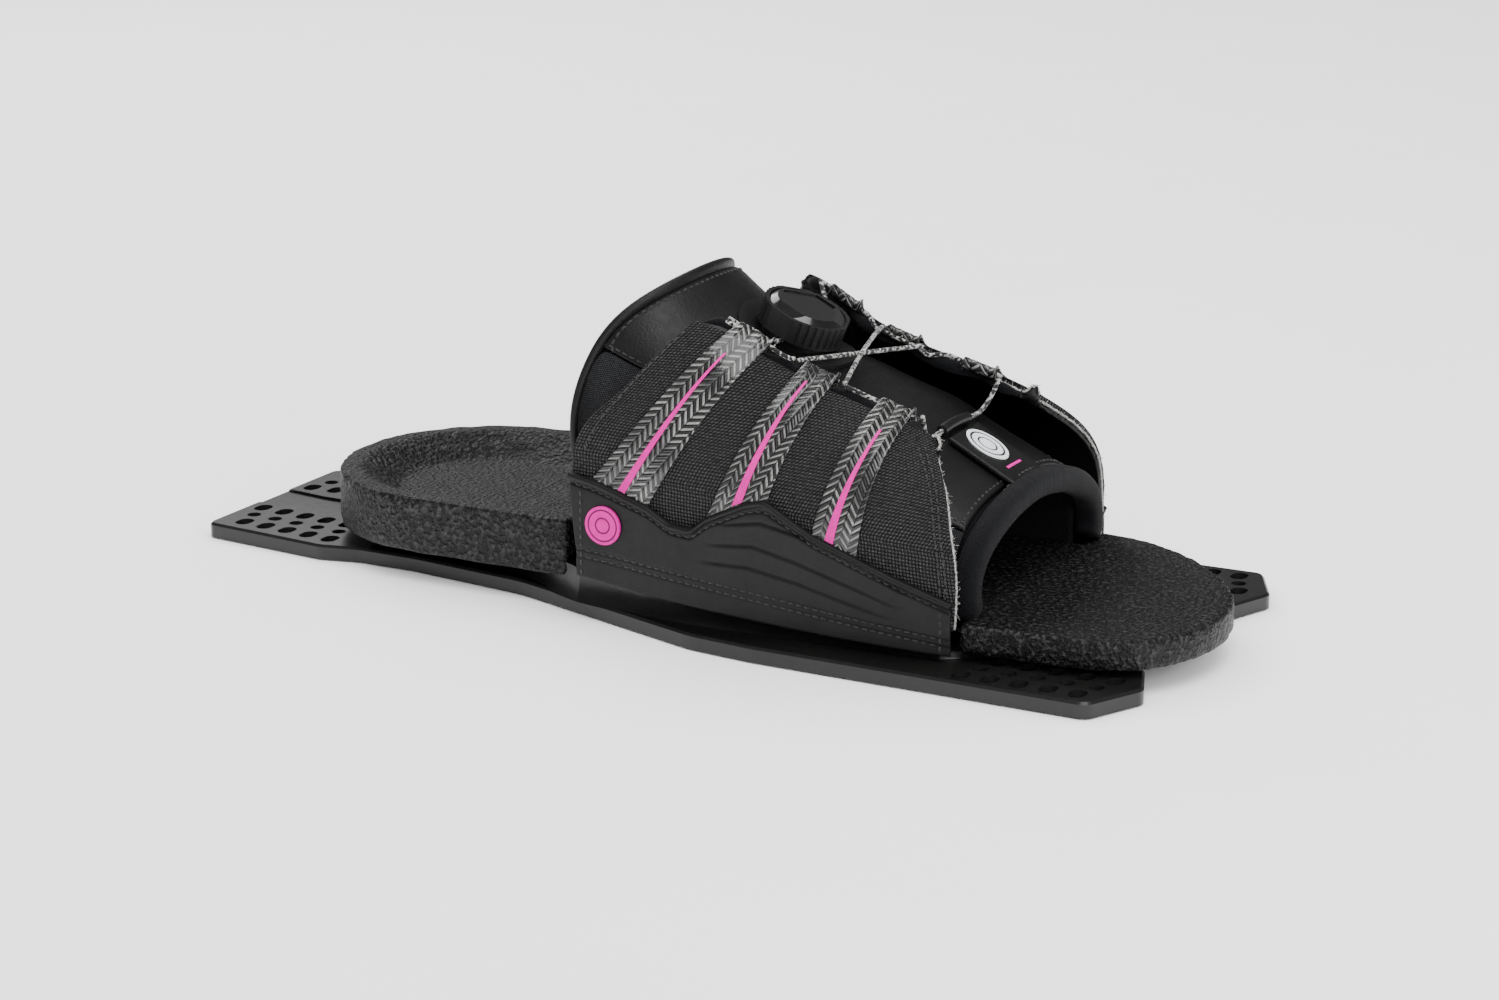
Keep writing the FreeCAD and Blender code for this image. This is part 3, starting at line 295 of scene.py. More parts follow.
def sweep_vertices(path, side_way, profile):
    """Rings of a profile along a path. side_way points along the profile's first axis."""
    tangent = unit(np.gradient(path, axis=0))
    first = unit(side_way - tangent * (side_way * tangent).sum(-1, keepdims=True))
    second = np.cross(tangent, first)
    return path[:, None] + first[:, None] * profile[..., :1] + second[:, None] * profile[..., 1:]


def sweep(name, paths, side_ways, profiles, look):
    """One piece from one or more capped sweeps."""
    vertices, faces, uv = [], [], []
    start = 0
    for path, side_way, profile in zip(paths, side_ways, profiles):
        rings = sweep_vertices(path, side_way, profile)
        rows, columns = rings.shape[:2]
        around = arc_lengths(rings, 1)
        along = np.repeat(arc_lengths(path[:, None], 0), columns, axis=1)
        vertices.append(rings.reshape(-1, 3))
        vertices.append(rings[[0, -1]].mean(1))
        uv.append(np.stack([around.ravel(), along.ravel()], axis=-1))
        uv.append(np.zeros((2, 2)))
        faces += grid_faces(rows, columns, start, flip=True, wrap=True).tolist()
        first_cap = start + rows * columns
        for column in range(columns):
            after = (column + 1) % columns
            faces.append([start + after, start + column, first_cap])
            last = start + (rows - 1) * columns
            faces.append([last + column, last + after, first_cap + 1])
        start += rows * columns + 2
    return make_object(name, np.concatenate(vertices), faces, np.concatenate(uv), look)


def oval(width, height, count=20, power=2.4):
    """Rounded profile, as points about its middle."""
    angle = np.linspace(0, 2 * math.pi, count, endpoint=False)
    c, s = np.cos(angle), np.sin(angle)
    return np.stack([np.sign(c) * np.abs(c) ** (2 / power) * width / 2,
                     np.sign(s) * np.abs(s) ** (2 / power) * height / 2], axis=-1)


def even_path(points, pitch):
    """Points at an even spacing along a polyline."""
    points = np.asarray(points, dtype=float)
    length = np.concatenate([[0], np.cumsum(np.linalg.norm(np.diff(points, axis=0), axis=1))])
    count = max(2, int(round(length[-1] / pitch)) + 1)
    at = np.linspace(0, length[-1], count)
    return np.stack([np.interp(at, length, points[:, k]) for k in range(points.shape[1])], axis=1)


STITCH_PITCH = 2.5
STITCH_LENGTH = 1.8
STITCH_RADIUS = 0.24
STITCH_TAPER = np.array([0.55, 1, 1, 1, 0.55])[:, None, None]


def stitches(name, lines):
    """Rows of thread bars. Each line is a pair: points on the skin and normals there."""
    thread = oval(2 * STITCH_RADIUS, 2.4 * STITCH_RADIUS, 6, 2.0)[None]
    paths, ways, profiles = [], [], []
    for points, normals in lines:
        both = even_path(np.concatenate([points, normals], axis=1), STITCH_PITCH)
        for index in range(len(both) - 1):
            start, end = both[index, :3], both[index + 1, :3]
            normal = unit(both[index, 3:] + both[index + 1, 3:])
            share = np.linspace(0, STITCH_LENGTH / STITCH_PITCH, 5)[:, None]
            sag = STITCH_RADIUS * (0.55 - 1.5 * (2 * share / share[-1] - 1) ** 2)
            paths.append(start + (end - start) * share + normal * sag)
            ways.append(repeated(normal, 5))
            profiles.append(thread * STITCH_TAPER)
    return sweep(name, paths, ways, profiles, "thread")


def puff(piece, pressure, cap):
    """Swell a padded piece with cloth under pressure, no point moving past the cap."""
    mesh = piece.data
    rest = read(mesh.vertices, "co")
    cloth = piece.modifiers.new("Cloth", "CLOTH")
    cloth.settings.use_pressure = True
    cloth.settings.uniform_pressure_force = pressure
    cloth.settings.effector_weights.gravity = 0
    scene = bpy.context.scene
    for number in range(1, 21):
        scene.frame_set(number)
    shown = piece.evaluated_get(bpy.context.evaluated_depsgraph_get())
    moved = read(shown.data.vertices, "co") - rest
    reach = np.linalg.norm(moved, axis=1, keepdims=True)
    limit = cap * METRE
    moved = moved * (limit * np.tanh(reach / limit) / np.maximum(reach, 1e-9))
    piece.modifiers.remove(cloth)
    mesh.vertices.foreach_set("co", (rest + np.nan_to_num(moved)).ravel())
    mesh.update()
    scene.frame_set(1)


# ---- materials

class Look:
    """A material under construction."""

    def __init__(self, name, roughness=0.5, specular=0.3, **others):
        self.material = bpy.data.materials.new(name)
        self.material.use_nodes = True
        self.tree = self.material.node_tree
        self.surface = self.tree.nodes["Principled BSDF"]
        self.set("Roughness", roughness)
        self.set("Specular IOR Level", specular)
        for key, value in others.items():
            self.set(key.replace("_", " ").title(), value)

    def feed(self, socket, value):
        if isinstance(value, bpy.types.NodeSocket):
            self.tree.links.new(value, socket)
        elif isinstance(value, (tuple, list)) and len(value) == 3 and socket.type == "RGBA":
            socket.default_value = (*value, 1.0)
        else:
            socket.default_value = value

    def set(self, name, value):
        self.feed(self.surface.inputs[name], value)

    def node(self, kind, inputs=None, **settings):
        made = self.tree.nodes.new(kind)
        for key, value in settings.items():
            setattr(made, key, value)
        for key, value in (inputs or {}).items():
            self.feed(made.inputs[key], value)
        return made

    def math(self, operation, *values):
        inputs = dict(enumerate(values))
        return self.node("ShaderNodeMath", inputs, operation=operation).outputs[0]

    def times(self, first, second):
        return self.math("MULTIPLY", first, second)

    def minus(self, first, second):
        return self.math("SUBTRACT", first, second)

    def scaled(self, value, factor, offset):
        return self.math("MULTIPLY_ADD", value, factor, offset)

    def mix(self, factor, first, second):
        made = self.node("ShaderNodeMix", data_type="RGBA")
        self.feed(made.inputs[0], factor)
        self.feed(made.inputs[6], first)
        self.feed(made.inputs[7], second)
        return made.outputs[2]

    def object_mm(self):
        """Object coordinates in millimetres."""
        place = self.node("ShaderNodeTexCoord").outputs["Object"]
        inputs = {0: place, "Scale": 1 / METRE}
        return self.node("ShaderNodeVectorMath", inputs, operation="SCALE").outputs[0]

    def uv(self):
        """UV coordinates in millimetres, as two numbers."""
        place = self.node("ShaderNodeUVMap").outputs[0]
        split = self.node("ShaderNodeSeparateXYZ", {0: place})
        return split.outputs[0], split.outputs[1]

    def noise(self, size, detail=2.0):
        """Noise whose features are about a size in millimetres."""
        inputs = {"Vector": self.object_mm(), "Scale": 1 / size, "Detail": detail}
        return self.node("ShaderNodeTexNoise", inputs).outputs[0]

    def ramp(self, value, low, high):
        """Value rescaled so that low is 0 and high is 1."""
        inputs = {0: value, 1: low, 2: high}
        return self.node("ShaderNodeMapRange", inputs).outputs[0]

    def patches(self, size):
        """Soft patches of 0 and 1."""
        return self.ramp(self.noise(size, 3.0), 0.3, 0.7)

    def colour(self, value):
        self.set("Base Color", value)

    def gloss(self, size, spread, least, detail=3.0):
        """Roughness that varies over the surface."""
        self.set("Roughness", self.scaled(self.noise(size, detail), spread, least))

    def rings(self, node, axis, *rings):
        """1 on rings about a node's middle, given as radius and half width, else 0."""
        low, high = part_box(node)
        inputs = {0: self.object_mm(), 1: tuple((low + high) / 2 / METRE)}
        flat = self.node("ShaderNodeVectorMath", inputs, operation="SUBTRACT").outputs[0]
        split = self.node("ShaderNodeSeparateXYZ", {0: flat})
        a, b = (split.outputs[k] for k in range(3) if k != axis)
        radius = self.math("SQRT", self.scaled(a, a, self.times(b, b)))
        return self.math("MAXIMUM", *(self.math("COMPARE", radius, *ring) for ring in rings))

    def bump(self, height, depth):
        """Surface relief of a depth in millimetres."""
        inputs = {"Height": height, "Distance": depth * METRE}
        self.set("Normal", self.node("ShaderNodeBump", inputs).outputs[0])


def grey(value):
    return value, value, value


def thread_profile(look, value, pitch):
    """Roundness of a thread across its width, and the number of the thread."""
    count = look.math("DIVIDE", value, pitch)
    across = look.scaled(look.math("FRACT", count), 2.0, -1.0)
    round_top = look.minus(1.0, look.times(across, across))
    return round_top, look.math("FLOOR", count)


def woven(look, u, v, pitch):
    """Height of a plain weave."""
    round_u, index_u = thread_profile(look, u, pitch)
    round_v, index_v = thread_profile(look, v, pitch)
    turn = look.math("FLOORED_MODULO", look.math("ADD", index_u, index_v), 2.0)
    u_over = look.math("LESS_THAN", turn, 0.99)
    arch_u = look.times(round_u, look.scaled(round_v, 0.4, 0.6))
    arch_v = look.times(round_v, look.scaled(round_u, 0.4, 0.6))
    return look.scaled(arch_u, u_over, look.times(arch_v, look.minus(1.0, u_over)))


def cloth_look(name, dark, light, pitch, depth, roughness, specular, sheen=0.0):
    look = Look(name, roughness, specular, sheen_weight=sheen)
    height = woven(look, *look.uv(), pitch)
    # Painted highlight and shade: thread crowns, from the weave's height, are lighter and the
    # gaps between threads darker.
    shade = look.times(look.math("POWER", height, 3.0),
                       look.scaled(look.noise(pitch * 0.9, 1.0), 1.6, -0.1))
    look.colour(look.mix(shade, dark, light))
    look.bump(height, depth)
    return look.material


BRAID_TOW = 1.2
BRAID_COLUMN = 2.9
BRAID_SLOPE = 0.95


def braid_look():
    """Herringbone braid of silver and black tows, under a clear glossy film."""
    look = Look("carbon_braid", 0.3, 0.5, coat_weight=0.8, coat_roughness=0.1)
    u, v = look.uv()
    column = look.math("DIVIDE", u, BRAID_COLUMN)
    local = look.math("FRACT", column)
    side = look.math("FLOORED_MODULO", look.math("FLOOR", column), 2.0)
    sign = look.scaled(side, 2.0, -1.0)
    slant = look.times(look.times(sign, local), BRAID_COLUMN * BRAID_SLOPE)
    round_tow, index = thread_profile(look, look.math("ADD", v, slant), BRAID_TOW)
    edge = look.math("ABSOLUTE", look.scaled(local, 2.0, -1.0))
    height = look.times(round_tow, look.minus(1.0, look.math("POWER", edge, 4.0)))
    fibre = look.ramp(look.noise(0.22), 0.3, 0.7)
    light = look.mix(fibre, (0.08, 0.079, 0.077), (0.46, 0.455, 0.445))
    light = look.mix(look.ramp(look.noise(11.0), 0.38, 0.66), (0.05, 0.05, 0.049), light)
    dark = look.mix(fibre, grey(0.003), (0.022, 0.0218, 0.0215))
    tow = look.mix(look.math("FLOORED_MODULO", index, 2.0), dark, light)
    # Painted shade: where the relief is low, between tows and at column edges, the colour goes to
    # near black.
    look.colour(look.mix(look.ramp(height, 0.05, 0.5), grey(0.002), tow))
    look.set("Metallic", 0.4)
    look.bump(height, 0.3)
    return look.material


def worn_look(name, size, dark, light, gloss, specular, relief, depth):
    """Soft sheet material with patches of wear. relief gives its height."""
    look = Look(name, 0.5, specular)
    look.colour(look.mix(look.patches(size), dark, light))
    look.gloss(*gloss)
    look.bump(relief(look), depth)
    return look.material


LEATHER_CELL = 0.7


def leather_relief(look):
    inputs = {"Vector": look.object_mm(), "Scale": 1 / LEATHER_CELL}
    cells = look.node("ShaderNodeTexVoronoi", inputs).outputs["Distance"]
    return look.math("ADD", cells, look.noise(3.0))


def foam_look():
    """Moulded foam with a pebbled skin."""
    look = Look("pebbled_foam", 0.55, 0.3)
    pebble = look.noise(1.35)
    # Painted highlight and shade: pebble tops, from the same noise as the bump, are lighter and
    # the dips darker.
    shade = look.ramp(pebble, 0.5, 0.72)
    look.colour(look.mix(shade, grey(0.0008), (0.03, 0.0295, 0.029)))
    look.gloss(6.0, 0.2, 0.42, 2.0)
    look.bump(pebble, 1.5)
    return look.material


def moulded_look(name, dark, light, roughness, specular=0.4, grain=0.02, coat=0.0):
    """Moulded plastic: fine grain, uneven gloss, and sharp edges made paler as a painted
    highlight.
    """
    look = Look(name, roughness, specular, coat_weight=coat, coat_roughness=0.08)
    edge = look.node("ShaderNodeNewGeometry").outputs["Pointiness"]
    patch = look.ramp(look.noise(18.0, 4.0), 0.35, 0.7)
    # Painted highlight: sharp edges, found by pointiness, are mixed towards this paler colour.
    pale = tuple(value * 2.2 for value in light)
    edge_highlight = look.times(look.ramp(edge, 0.52, 0.62), 0.6)
    look.colour(look.mix(edge_highlight, look.mix(patch, dark, light), pale))
    look.gloss(2.5, 0.18, roughness - 0.09)
    look.bump(look.noise(0.5, 3.0), grain)
    return look.material


def print_look(name, colour):
    """Printed ink: slightly uneven colour."""
    look = Look(name, 0.4, 0.15)
    look.colour(look.mix(look.patches(2.2), tuple(value * 0.82 for value in colour), colour))
    look.bump(look.noise(0.6), 0.02)
    return look.material


def emblem_look():
    """Silver disc with plain rings."""
    look = Look("silver_disc", 0.35, 0.5)
    rings = look.rings("tab_emblem", 2, (4.7, 0.3), (2.6, 0.25))
    silver = look.mix(look.patches(1.5), (0.52, 0.56, 0.58), (0.68, 0.72, 0.74))
    look.colour(look.mix(rings, silver, (0.02, 0.02, 0.022)))
    look.bump(look.noise(0.5), 0.02)
    return look.material


def badge_look(node):
    """Pink rubber disc with plain sunk rings."""
    look = Look(node + "_pink", 0.5, 0.15)
    rings = look.rings(node, 1, (4.5, 0.22), (2.2, 0.22))
    pink = look.mix(look.patches(2.0), (0.5, 0.0, 0.23), PINK)
    look.colour(look.mix(rings, pink, (0.12, 0.004, 0.06)))
    look.bump(look.minus(look.noise(0.6), rings), 0.15)
    return look.material


def lace_look():
    """Braided cord of black and white yarns."""
    look = Look("lace_braid", 0.6, 0.35, sheen_weight=0.2)
    u, v = look.uv()
    height = woven(look, look.math("ADD", u, v), look.minus(u, v), 0.62)
    yarn = look.ramp(look.noise(1.0, 0.0), 0.5, 0.56)
    shade = look.mix(yarn, grey(0.003), (0.42, 0.41, 0.4))
    # Painted shade: the gaps between yarns, where the weave height is low, go near black.
    look.colour(look.mix(look.ramp(height, 0.0, 0.3), grey(0.004), shade))
    look.bump(height, 0.12)
    return look.material


def thread_look(name, dark, light):
    look = Look(name, 0.55, 0.35, sheen_weight=0.15)
    twist = look.noise(0.4)
    look.colour(look.mix(look.ramp(twist, 0.35, 0.65), dark, light))
    look.bump(twist, 0.08)
    return look.material


def metal_look(name, colour):
    look = Look(name, 0.35, 0.5, metallic=1.0)
    look.colour(look.mix(look.patches(1.2), tuple(value * 0.75 for value in colour), colour))
    look.gloss(0.8, 0.2, 0.25)
    return look.material


LOOKS = {
    "canvas": cloth_look("canvas", grey(0.0008), (0.06, 0.06, 0.061), 1.0, 0.6, 0.7, 0.25),
    "mesh": cloth_look("mesh", (0.0012, 0.0012, 0.0015), (0.05, 0.052, 0.056),
                       0.55, 0.3, 0.7, 0.2),
    "neoprene": cloth_look("neoprene", (0.0012, 0.0012, 0.0018), (0.008, 0.0085, 0.012),
                           0.45, 0.1, 0.8, 0.12, 0.04),
    "braid": braid_look(),
    "rubber": worn_look("rand_rubber", 9.0, (0.0038, 0.0037, 0.0037), (0.0062, 0.0061, 0.006),
                        (1.5, 0.16, 0.44), 0.25, lambda look: look.noise(0.35, 3.0), 0.03),
    "leather": worn_look("leather", 14.0, (0.0035, 0.0034, 0.0033), (0.0065, 0.0063, 0.0062),
                         (2.0, 0.2, 0.4), 0.35, leather_relief, 0.06),
    "foam": foam_look(),
    "plate": moulded_look("plate_plastic", grey(0.003), (0.005, 0.0049, 0.0048), 0.34),
    "dial_body": moulded_look("dial_body", grey(0.003), grey(0.005), 0.42),
    "dial_grip": moulded_look("dial_grip", grey(0.003), grey(0.006), 0.5, grain=0.04),
    "dial_gloss": moulded_look("dial_gloss", (0.0025, 0.0025, 0.003), (0.004, 0.004, 0.0045),
                               0.22, 0.5, 0.004, 0.6),
    "lining": moulded_look("coated_lining", grey(0.0015), grey(0.003), 0.4, 0.3, 0.05),
    "pink": print_look("pink_print", PINK),
    "emblem": emblem_look(),
    "lace": lace_look(),
    "thread": thread_look("black_thread", grey(0.004), grey(0.02)),
    "raw_edge": thread_look("raw_edge", (0.1, 0.098, 0.095), (0.42, 0.41, 0.4)),
    "steel": metal_look("steel", grey(0.55)),
    "brass": metal_look("brass", (0.7, 0.5, 0.22)),
    "board": moulded_look("board", grey(0.02), grey(0.04), 0.7),
}


# ---- CAD nodes that stay

def paint(node, material):
    """Give a CAD node a material, and leave its mesh alone."""
    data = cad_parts[node].data
    data.materials.clear()
    data.materials.append(material)


KEPT = {
    "plate": "base_plate", "brass": "threaded_inserts", "board": "lasting_board",
    "steel": "clamp_screws left_clamp_bar right_clamp_bar dial_screw detent_spring",
    "dial_body": "dial_base dial_housing lace_spool drive_ring dial_knob toe_lace_guide",
    "lace": "lace_coil", "dial_grip": "dial_grip", "dial_gloss": "dial_cap",
    "emblem": "tab_emblem", "pink": "right_stripes left_stripes"}


def paint_frame():
    for look, nodes in KEPT.items():
        for node in nodes.split():
            paint(node, LOOKS[look])
    for side, _ in SIDES:
        paint(side + "_badge", badge_look(side + "_badge"))


# ---- footbed

FOAM_VOXEL = 1.5
FOAM_WAVE = 0.12


def make_footbed():
    """Foam bed: the CAD shape with softened edges and a slightly uneven skin."""
    piece = add_object("foam_footbed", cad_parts["footbed"].data.copy())
    remesh = piece.modifiers.new("Remesh", "REMESH")
    remesh.mode = "VOXEL"
    remesh.voxel_size = FOAM_VOXEL * METRE
    soften = piece.modifiers.new("Soften", "SMOOTH")
    soften.factor = 0.5
    soften.iterations = 5
    graph = bpy.context.evaluated_depsgraph_get()
    soft = bpy.data.meshes.new_from_object(piece.evaluated_get(graph))
    piece.modifiers.clear()
    points = read(soft.vertices, "co") / METRE
    wave = np.sin(points[:, 0] * 0.31 + 1.3 * np.sin(points[:, 1] * 0.17))
    wave = wave * np.sin(points[:, 1] * 0.27 + points[:, 2] * 0.9)
    points = points + read(soft.vertices, "normal") * (FOAM_WAVE * wave)[:, None]
    soft.vertices.foreach_set("co", (points * METRE).ravel())
    soft.shade_smooth()
    soft.materials.clear()
    soft.materials.append(LOOKS["foam"])
    piece.data = soft
    stands_for(piece, "root", "foam", "footbed")


# ---- tongue

RIM_LIMIT = 2.2  # angle from straight up


def widest_angle(shape, x):
    """How far round the tunnel a node reaches at x."""
    points = shape.section(0, x)
    return np.arctan2(np.abs(points[:, 1]), points[:, 2] - AXIS_HEIGHT).max()


def angular_section(shape, angle):
    """Low and high corner of the section of a rim by a plane through the tunnel's axis."""
    y = shape.points[:, 1]
    z = shape.points[:, 2] - AXIS_HEIGHT
    off = y * math.cos(angle) - z * math.sin(angle)
    out = y * math.sin(angle) + z * math.cos(angle)
    a, b = shape.edges.T
    crossed = (off[a] * off[b] < 0) & (out[a] > 0) & (out[b] > 0)
    a, b = a[crossed], b[crossed]
    share = off[a] / (off[a] - off[b])
    x = shape.points[a, 0] + (shape.points[b, 0] - shape.points[a, 0]) * share
    r = out[a] + (out[b] - out[a]) * share
    if len(x) < 3:
        return None
    return np.array((x.min(), r.min())), np.array((x.max(), r.max()))


def rear_edge(shape):
    """Rear limit of a piece of the tunnel as a function of the angle from straight up."""
    angles, limits = [], []
    for angle in np.linspace(0.001, 2.3, 90):
        found = angular_section(shape, angle)
        if found is not None:
            angles.append(angle)
            limits.append(found[0][0])
    return lambda angle: np.interp(abs(angle), angles, limits)


def tunnel_grid(node, front, rows, columns, inner=False):
    """Grid on a node's skin from the throat to the front, edge to edge."""
    shape = skin(node)
    throat = rear_edge(shape)
    xs = np.linspace(shape.low[0] + 0.4, front, 40)
    reach = np.array([widest_angle(shape, x) for x in xs]) - 0.004
    grid = []
    for share in steps(columns) * 2 - 1:
        x = shape.low[0] + 0.2
        for _ in range(16):
            x = 0.5 * x + 0.5 * (throat(share * np.interp(x, xs, reach)) + 0.2)
        line = x + (front - x) * steps(rows)
        grid.append([shape.around(px, share * np.interp(px, xs, reach), inner)
                     for px in line])
    return smooth_grid(np.array(grid).transpose(1, 0, 2), 2)


def tunnel_out(grid):
    """Directions away from the tunnel's axis."""
    return unit((grid - np.array((0.0, 0.0, AXIS_HEIGHT))) * np.array((0.0, 1.0, 1.0)))


TONGUE_THICKNESS = 2.1
LINER_THICKNESS = 2.3


def make_tongue():
    front = skin("tongue_shell").high[0] - 0.2
    grid = tunnel_grid("tongue_shell", front, 90, 90)
    out = tunnel_out(grid)
    rise = 0.12 * np.sin(grid[..., 0] * 0.23) * np.cos(grid[..., 1] * 0.19)
    piece = sheet("tongue_leather", grid, TONGUE_THICKNESS, "leather", out, rise)
    stands_for(piece, "root", "leather", "tongue_shell")
    normals = outward_normals(grid, out)
    lines = [(grid[at], normals[at]) for at in (np.s_[5], np.s_[:, 4], np.s_[:, -5], np.s_[-5])]
    stands_for(stitches("tongue_stitches", lines), "root", "leather")
    inner = tunnel_grid("tongue_liner", front - 0.2, 60, 120, inner=True)
    lining = sheet("tongue_padding", inner, LINER_THICKNESS, "neoprene", -tunnel_out(inner))
    stands_for(lining, "root", "neoprene", "tongue_liner")


GUSSET_LOW = 15.5
GUSSET_THICKNESS = 1.6


def make_gusset(side, sign):
    """Mesh wall under the tongue, from the throat to the toe."""
    shape = skin(side + "_gusset")
    throat = Curve(shape, 2, 0, False, low=GUSSET_LOW + 1)
    top = Curve(shape, 0, 2, True)
    front = shape.high[0] - 0.2

    def height(x):
        return GUSSET_LOW + up * (top(x) - 0.1 - GUSSET_LOW)

    grid = []
    for up in steps(50):
        x = shape.low[0] + 2
        for _ in range(12):
            x = 0.5 * x + 0.5 * (throat(height(x)) + 0.1)
        grid.append([shape.side(px, height(px), sign) for px in x + (front - x) * steps(80)])
    grid = smooth_grid(grid, 1)
    piece = sheet(side + "_mesh_wall", grid, GUSSET_THICKNESS, "mesh", np.array((0.0, sign, 0.2)))
    stands_for(piece, "root", "mesh", side + "_gusset")


def rim_path(node, count=120):
    """Middle line of an arched rim, ways outward, and its sizes along X and outward."""
    shape = skin(node)
    path, ways, sizes = [], [], []
    for angle in np.linspace(-RIM_LIMIT, RIM_LIMIT, count):
        found = angular_section(shape, angle)
        if found is None:
            continue
        low, high = found
        x, r = (low + high) / 2
        path.append((x, r * math.sin(angle), AXIS_HEIGHT + r * math.cos(angle)))
        ways.append((0.0, math.sin(angle), math.cos(angle)))
        sizes.append(high - low)
    path = smooth(np.array(path), 4)
    return path, np.array(ways), np.array(sizes)


def make_binding():
    """Edge tape folded round the throat."""
    path, ways, sizes = rim_path("throat_binding")
    wide, thick = np.median(sizes, axis=0)
    profile = repeated(oval(thick, wide, 24, 2.6), len(path))
    piece = sweep("throat_tape", [path], [ways], [profile], "leather")
    stands_for(piece, "root", "leather", "throat_binding")


COLLAR_WRINKLE = 0.012
COLLAR_DEPTH = 0.66


def make_collar():
    """Padded roll at the toe opening, swollen by simulation."""
    path, ways, sizes = rim_path("toe_collar", 130)
    length, thick = np.median(sizes, axis=0)
    along = np.arange(len(path))
    wrinkle = 1 + COLLAR_WRINKLE * np.sin(along * 0.9) * np.sin(along * 0.23 + 1)
    path = path + ways * thick * (1 - COLLAR_DEPTH) / 2
    profile = oval(thick * COLLAR_DEPTH, length * 0.95, 26, 2.8)[None] * wrinkle[:, None, None]
    piece = sweep("toe_roll", [path], [ways], [profile], "neoprene")
    puff(piece, 4.0, 0.3)
    stands_for(piece, "root", "neoprene", "toe_collar")
    seam = path + ways * thick * (COLLAR_DEPTH / 2 + 0.01)
    seam[:, 0] = seam[:, 0] - length * 0.3
    stands_for(stitches("toe_roll_stitches", [(seam, ways)]), "root", "neoprene")


# ---- side panels

REAR_FOOT = 7.2  # above the panel's lowest point
TOE_FOOT = 0.3

class Side:
    """Outline functions of one panel, all read from its CAD nodes."""

    def __init__(self, side, sign):
        self.name, self.body, self.sign = side, side + "_side", sign
        self.panel = skin(side + "_panel")
        self.rand = skin(side + "_rand")
        self.hem = skin(side + "_hem")
        self.corner = self.panel.points[self.panel.points[:, 2].argmax(), 0]
        self.rear = Curve(self.panel, 2, 0, False, count=90)
        self.toe = Curve(self.panel, 2, 0, True, count=90)
        self.top = Curve(self.panel, 0, 2, True, count=120)
        self.seam = Curve(self.rand, 0, 2, True, count=120)
        self.rand_low = Curve(self.rand, 0, 2, False)
        self.hem_low = Curve(self.hem, 0, 2, False)
        self.out = np.array((0.0, sign, 0.3))
        self.middles = None

    def point(self, x, z):
        return self.panel.side(x, z, self.sign)

    def inside(self, x, z, margin=0.12):
        """Keep a side-view point just inside the panel's outline."""
        z = min(z, self.top(x) - margin)
        low, high = self.rear(z) + margin, self.toe(z) - margin
        return min(max(x, low), high), z

    def panel_grid(self, rows, columns):
        """Patch between the panel's edges in side view, put on its skin."""
        rear_low, toe_low = self.panel.low[2] + REAR_FOOT, self.panel.low[2] + TOE_FOOT
        rear_top, toe_top = self.top(self.corner), self.top(TOE_CORNER_X)
        grid = []
        for a in steps(rows):
            top = self.top(self.corner + a * (TOE_CORNER_X - self.corner))
            bulge = top - (1 - a) * rear_top - a * toe_top
            row = []
            for b in steps(columns):
                rear_z = rear_low + b * (rear_top - rear_low)
                toe_z = toe_low + b * (toe_top - toe_low)
                x = (1 - a) * self.rear(rear_z) + a * self.toe(toe_z)
                z = (1 - a) * rear_z + a * toe_z + b * bulge
                row.append(self.point(*self.inside(x, z)))
            grid.append(row)
        return smooth_grid(grid, 1)

    def loop_middles(self):
        if self.middles is None:
            strips = [skin(self.name + "_" + name + "_strip") for name in STRIP_NAMES]
            self.middles = [loop_span(self, strip).mean() for strip in strips]
        return self.middles

    def rubber(self, x, z, margin):
        """Skin of the rand, probed inside its outline."""
        z = min(max(z, self.rand_low(x) + 0.7), self.seam(x) - margin)
        return self.rand.side(x, z, self.sign)

    def loop_centre(self, strip, x):
        """Middle of a strip's lace loop at x."""
        points = strip.section(0, x)
        edge = abs(self.point(x, self.top(x) - 0.15)[1])
        ring = points[np.abs(points[:, 1]) < edge - 1.25]
        return (ring.min(0) + ring.max(0)) / 2


def line_on_side(face, flat):
    """A side-view line put on a panel, with its normals."""
    flat = even_path(flat, 1.5)
    points = np.array([face.point(*face.inside(x, z, 0.4)) for x, z in flat])
    up = np.array([face.point(*face.inside(x, z + 0.8, 0.2)) for x, z in flat]) - points
    normals = unit(np.cross(np.gradient(points, axis=0), up + 1e-4 * UP))
    normals = normals * np.where((normals * face.out).sum(-1, keepdims=True) < 0, -1, 1)
    return points + normals * 0.1, normals


def make_panel(face):
    """Canvas sheet, coated lining with a padded lip, stitch rows and raw edges."""
    grid = face.panel_grid(130, 90)
    canvas = sheet(face.name + "_canvas", grid, PANEL_SHEET, "canvas", face.out)
    stands_for(canvas, face.body, "canvas", face.name + "_panel")
    make_lining(face, grid)
    toe_z = np.linspace(face.panel.low[2] + 3, face.top(TOE_CORNER_X) - 2, 30)
    rows = [line_on_side(face, REAR_STITCH)]
    for inset in TOE_STITCH_INSETS:
        rows.append(line_on_side(face, [(face.toe(z) - inset, z) for z in toe_z]))
    stands_for(stitches(face.name + "_panel_stitches", rows), face.body, "canvas")
    make_raw_edge(face, grid)


def lip_height(face, x):
    """How far the lining's padded lip stands past the panel's edge: lower at each loop."""
    height = SCALLOP
    for middle in face.loop_middles():
        height = height * (1 - 0.8 * math.exp(-((x - middle) / 5.5) ** 2))
    fade = min(1.0, max(0.0, (x - face.corner) / 4.0), max(0.0, (TOE_CORNER_X - x) / 6.0))
    return height * fade


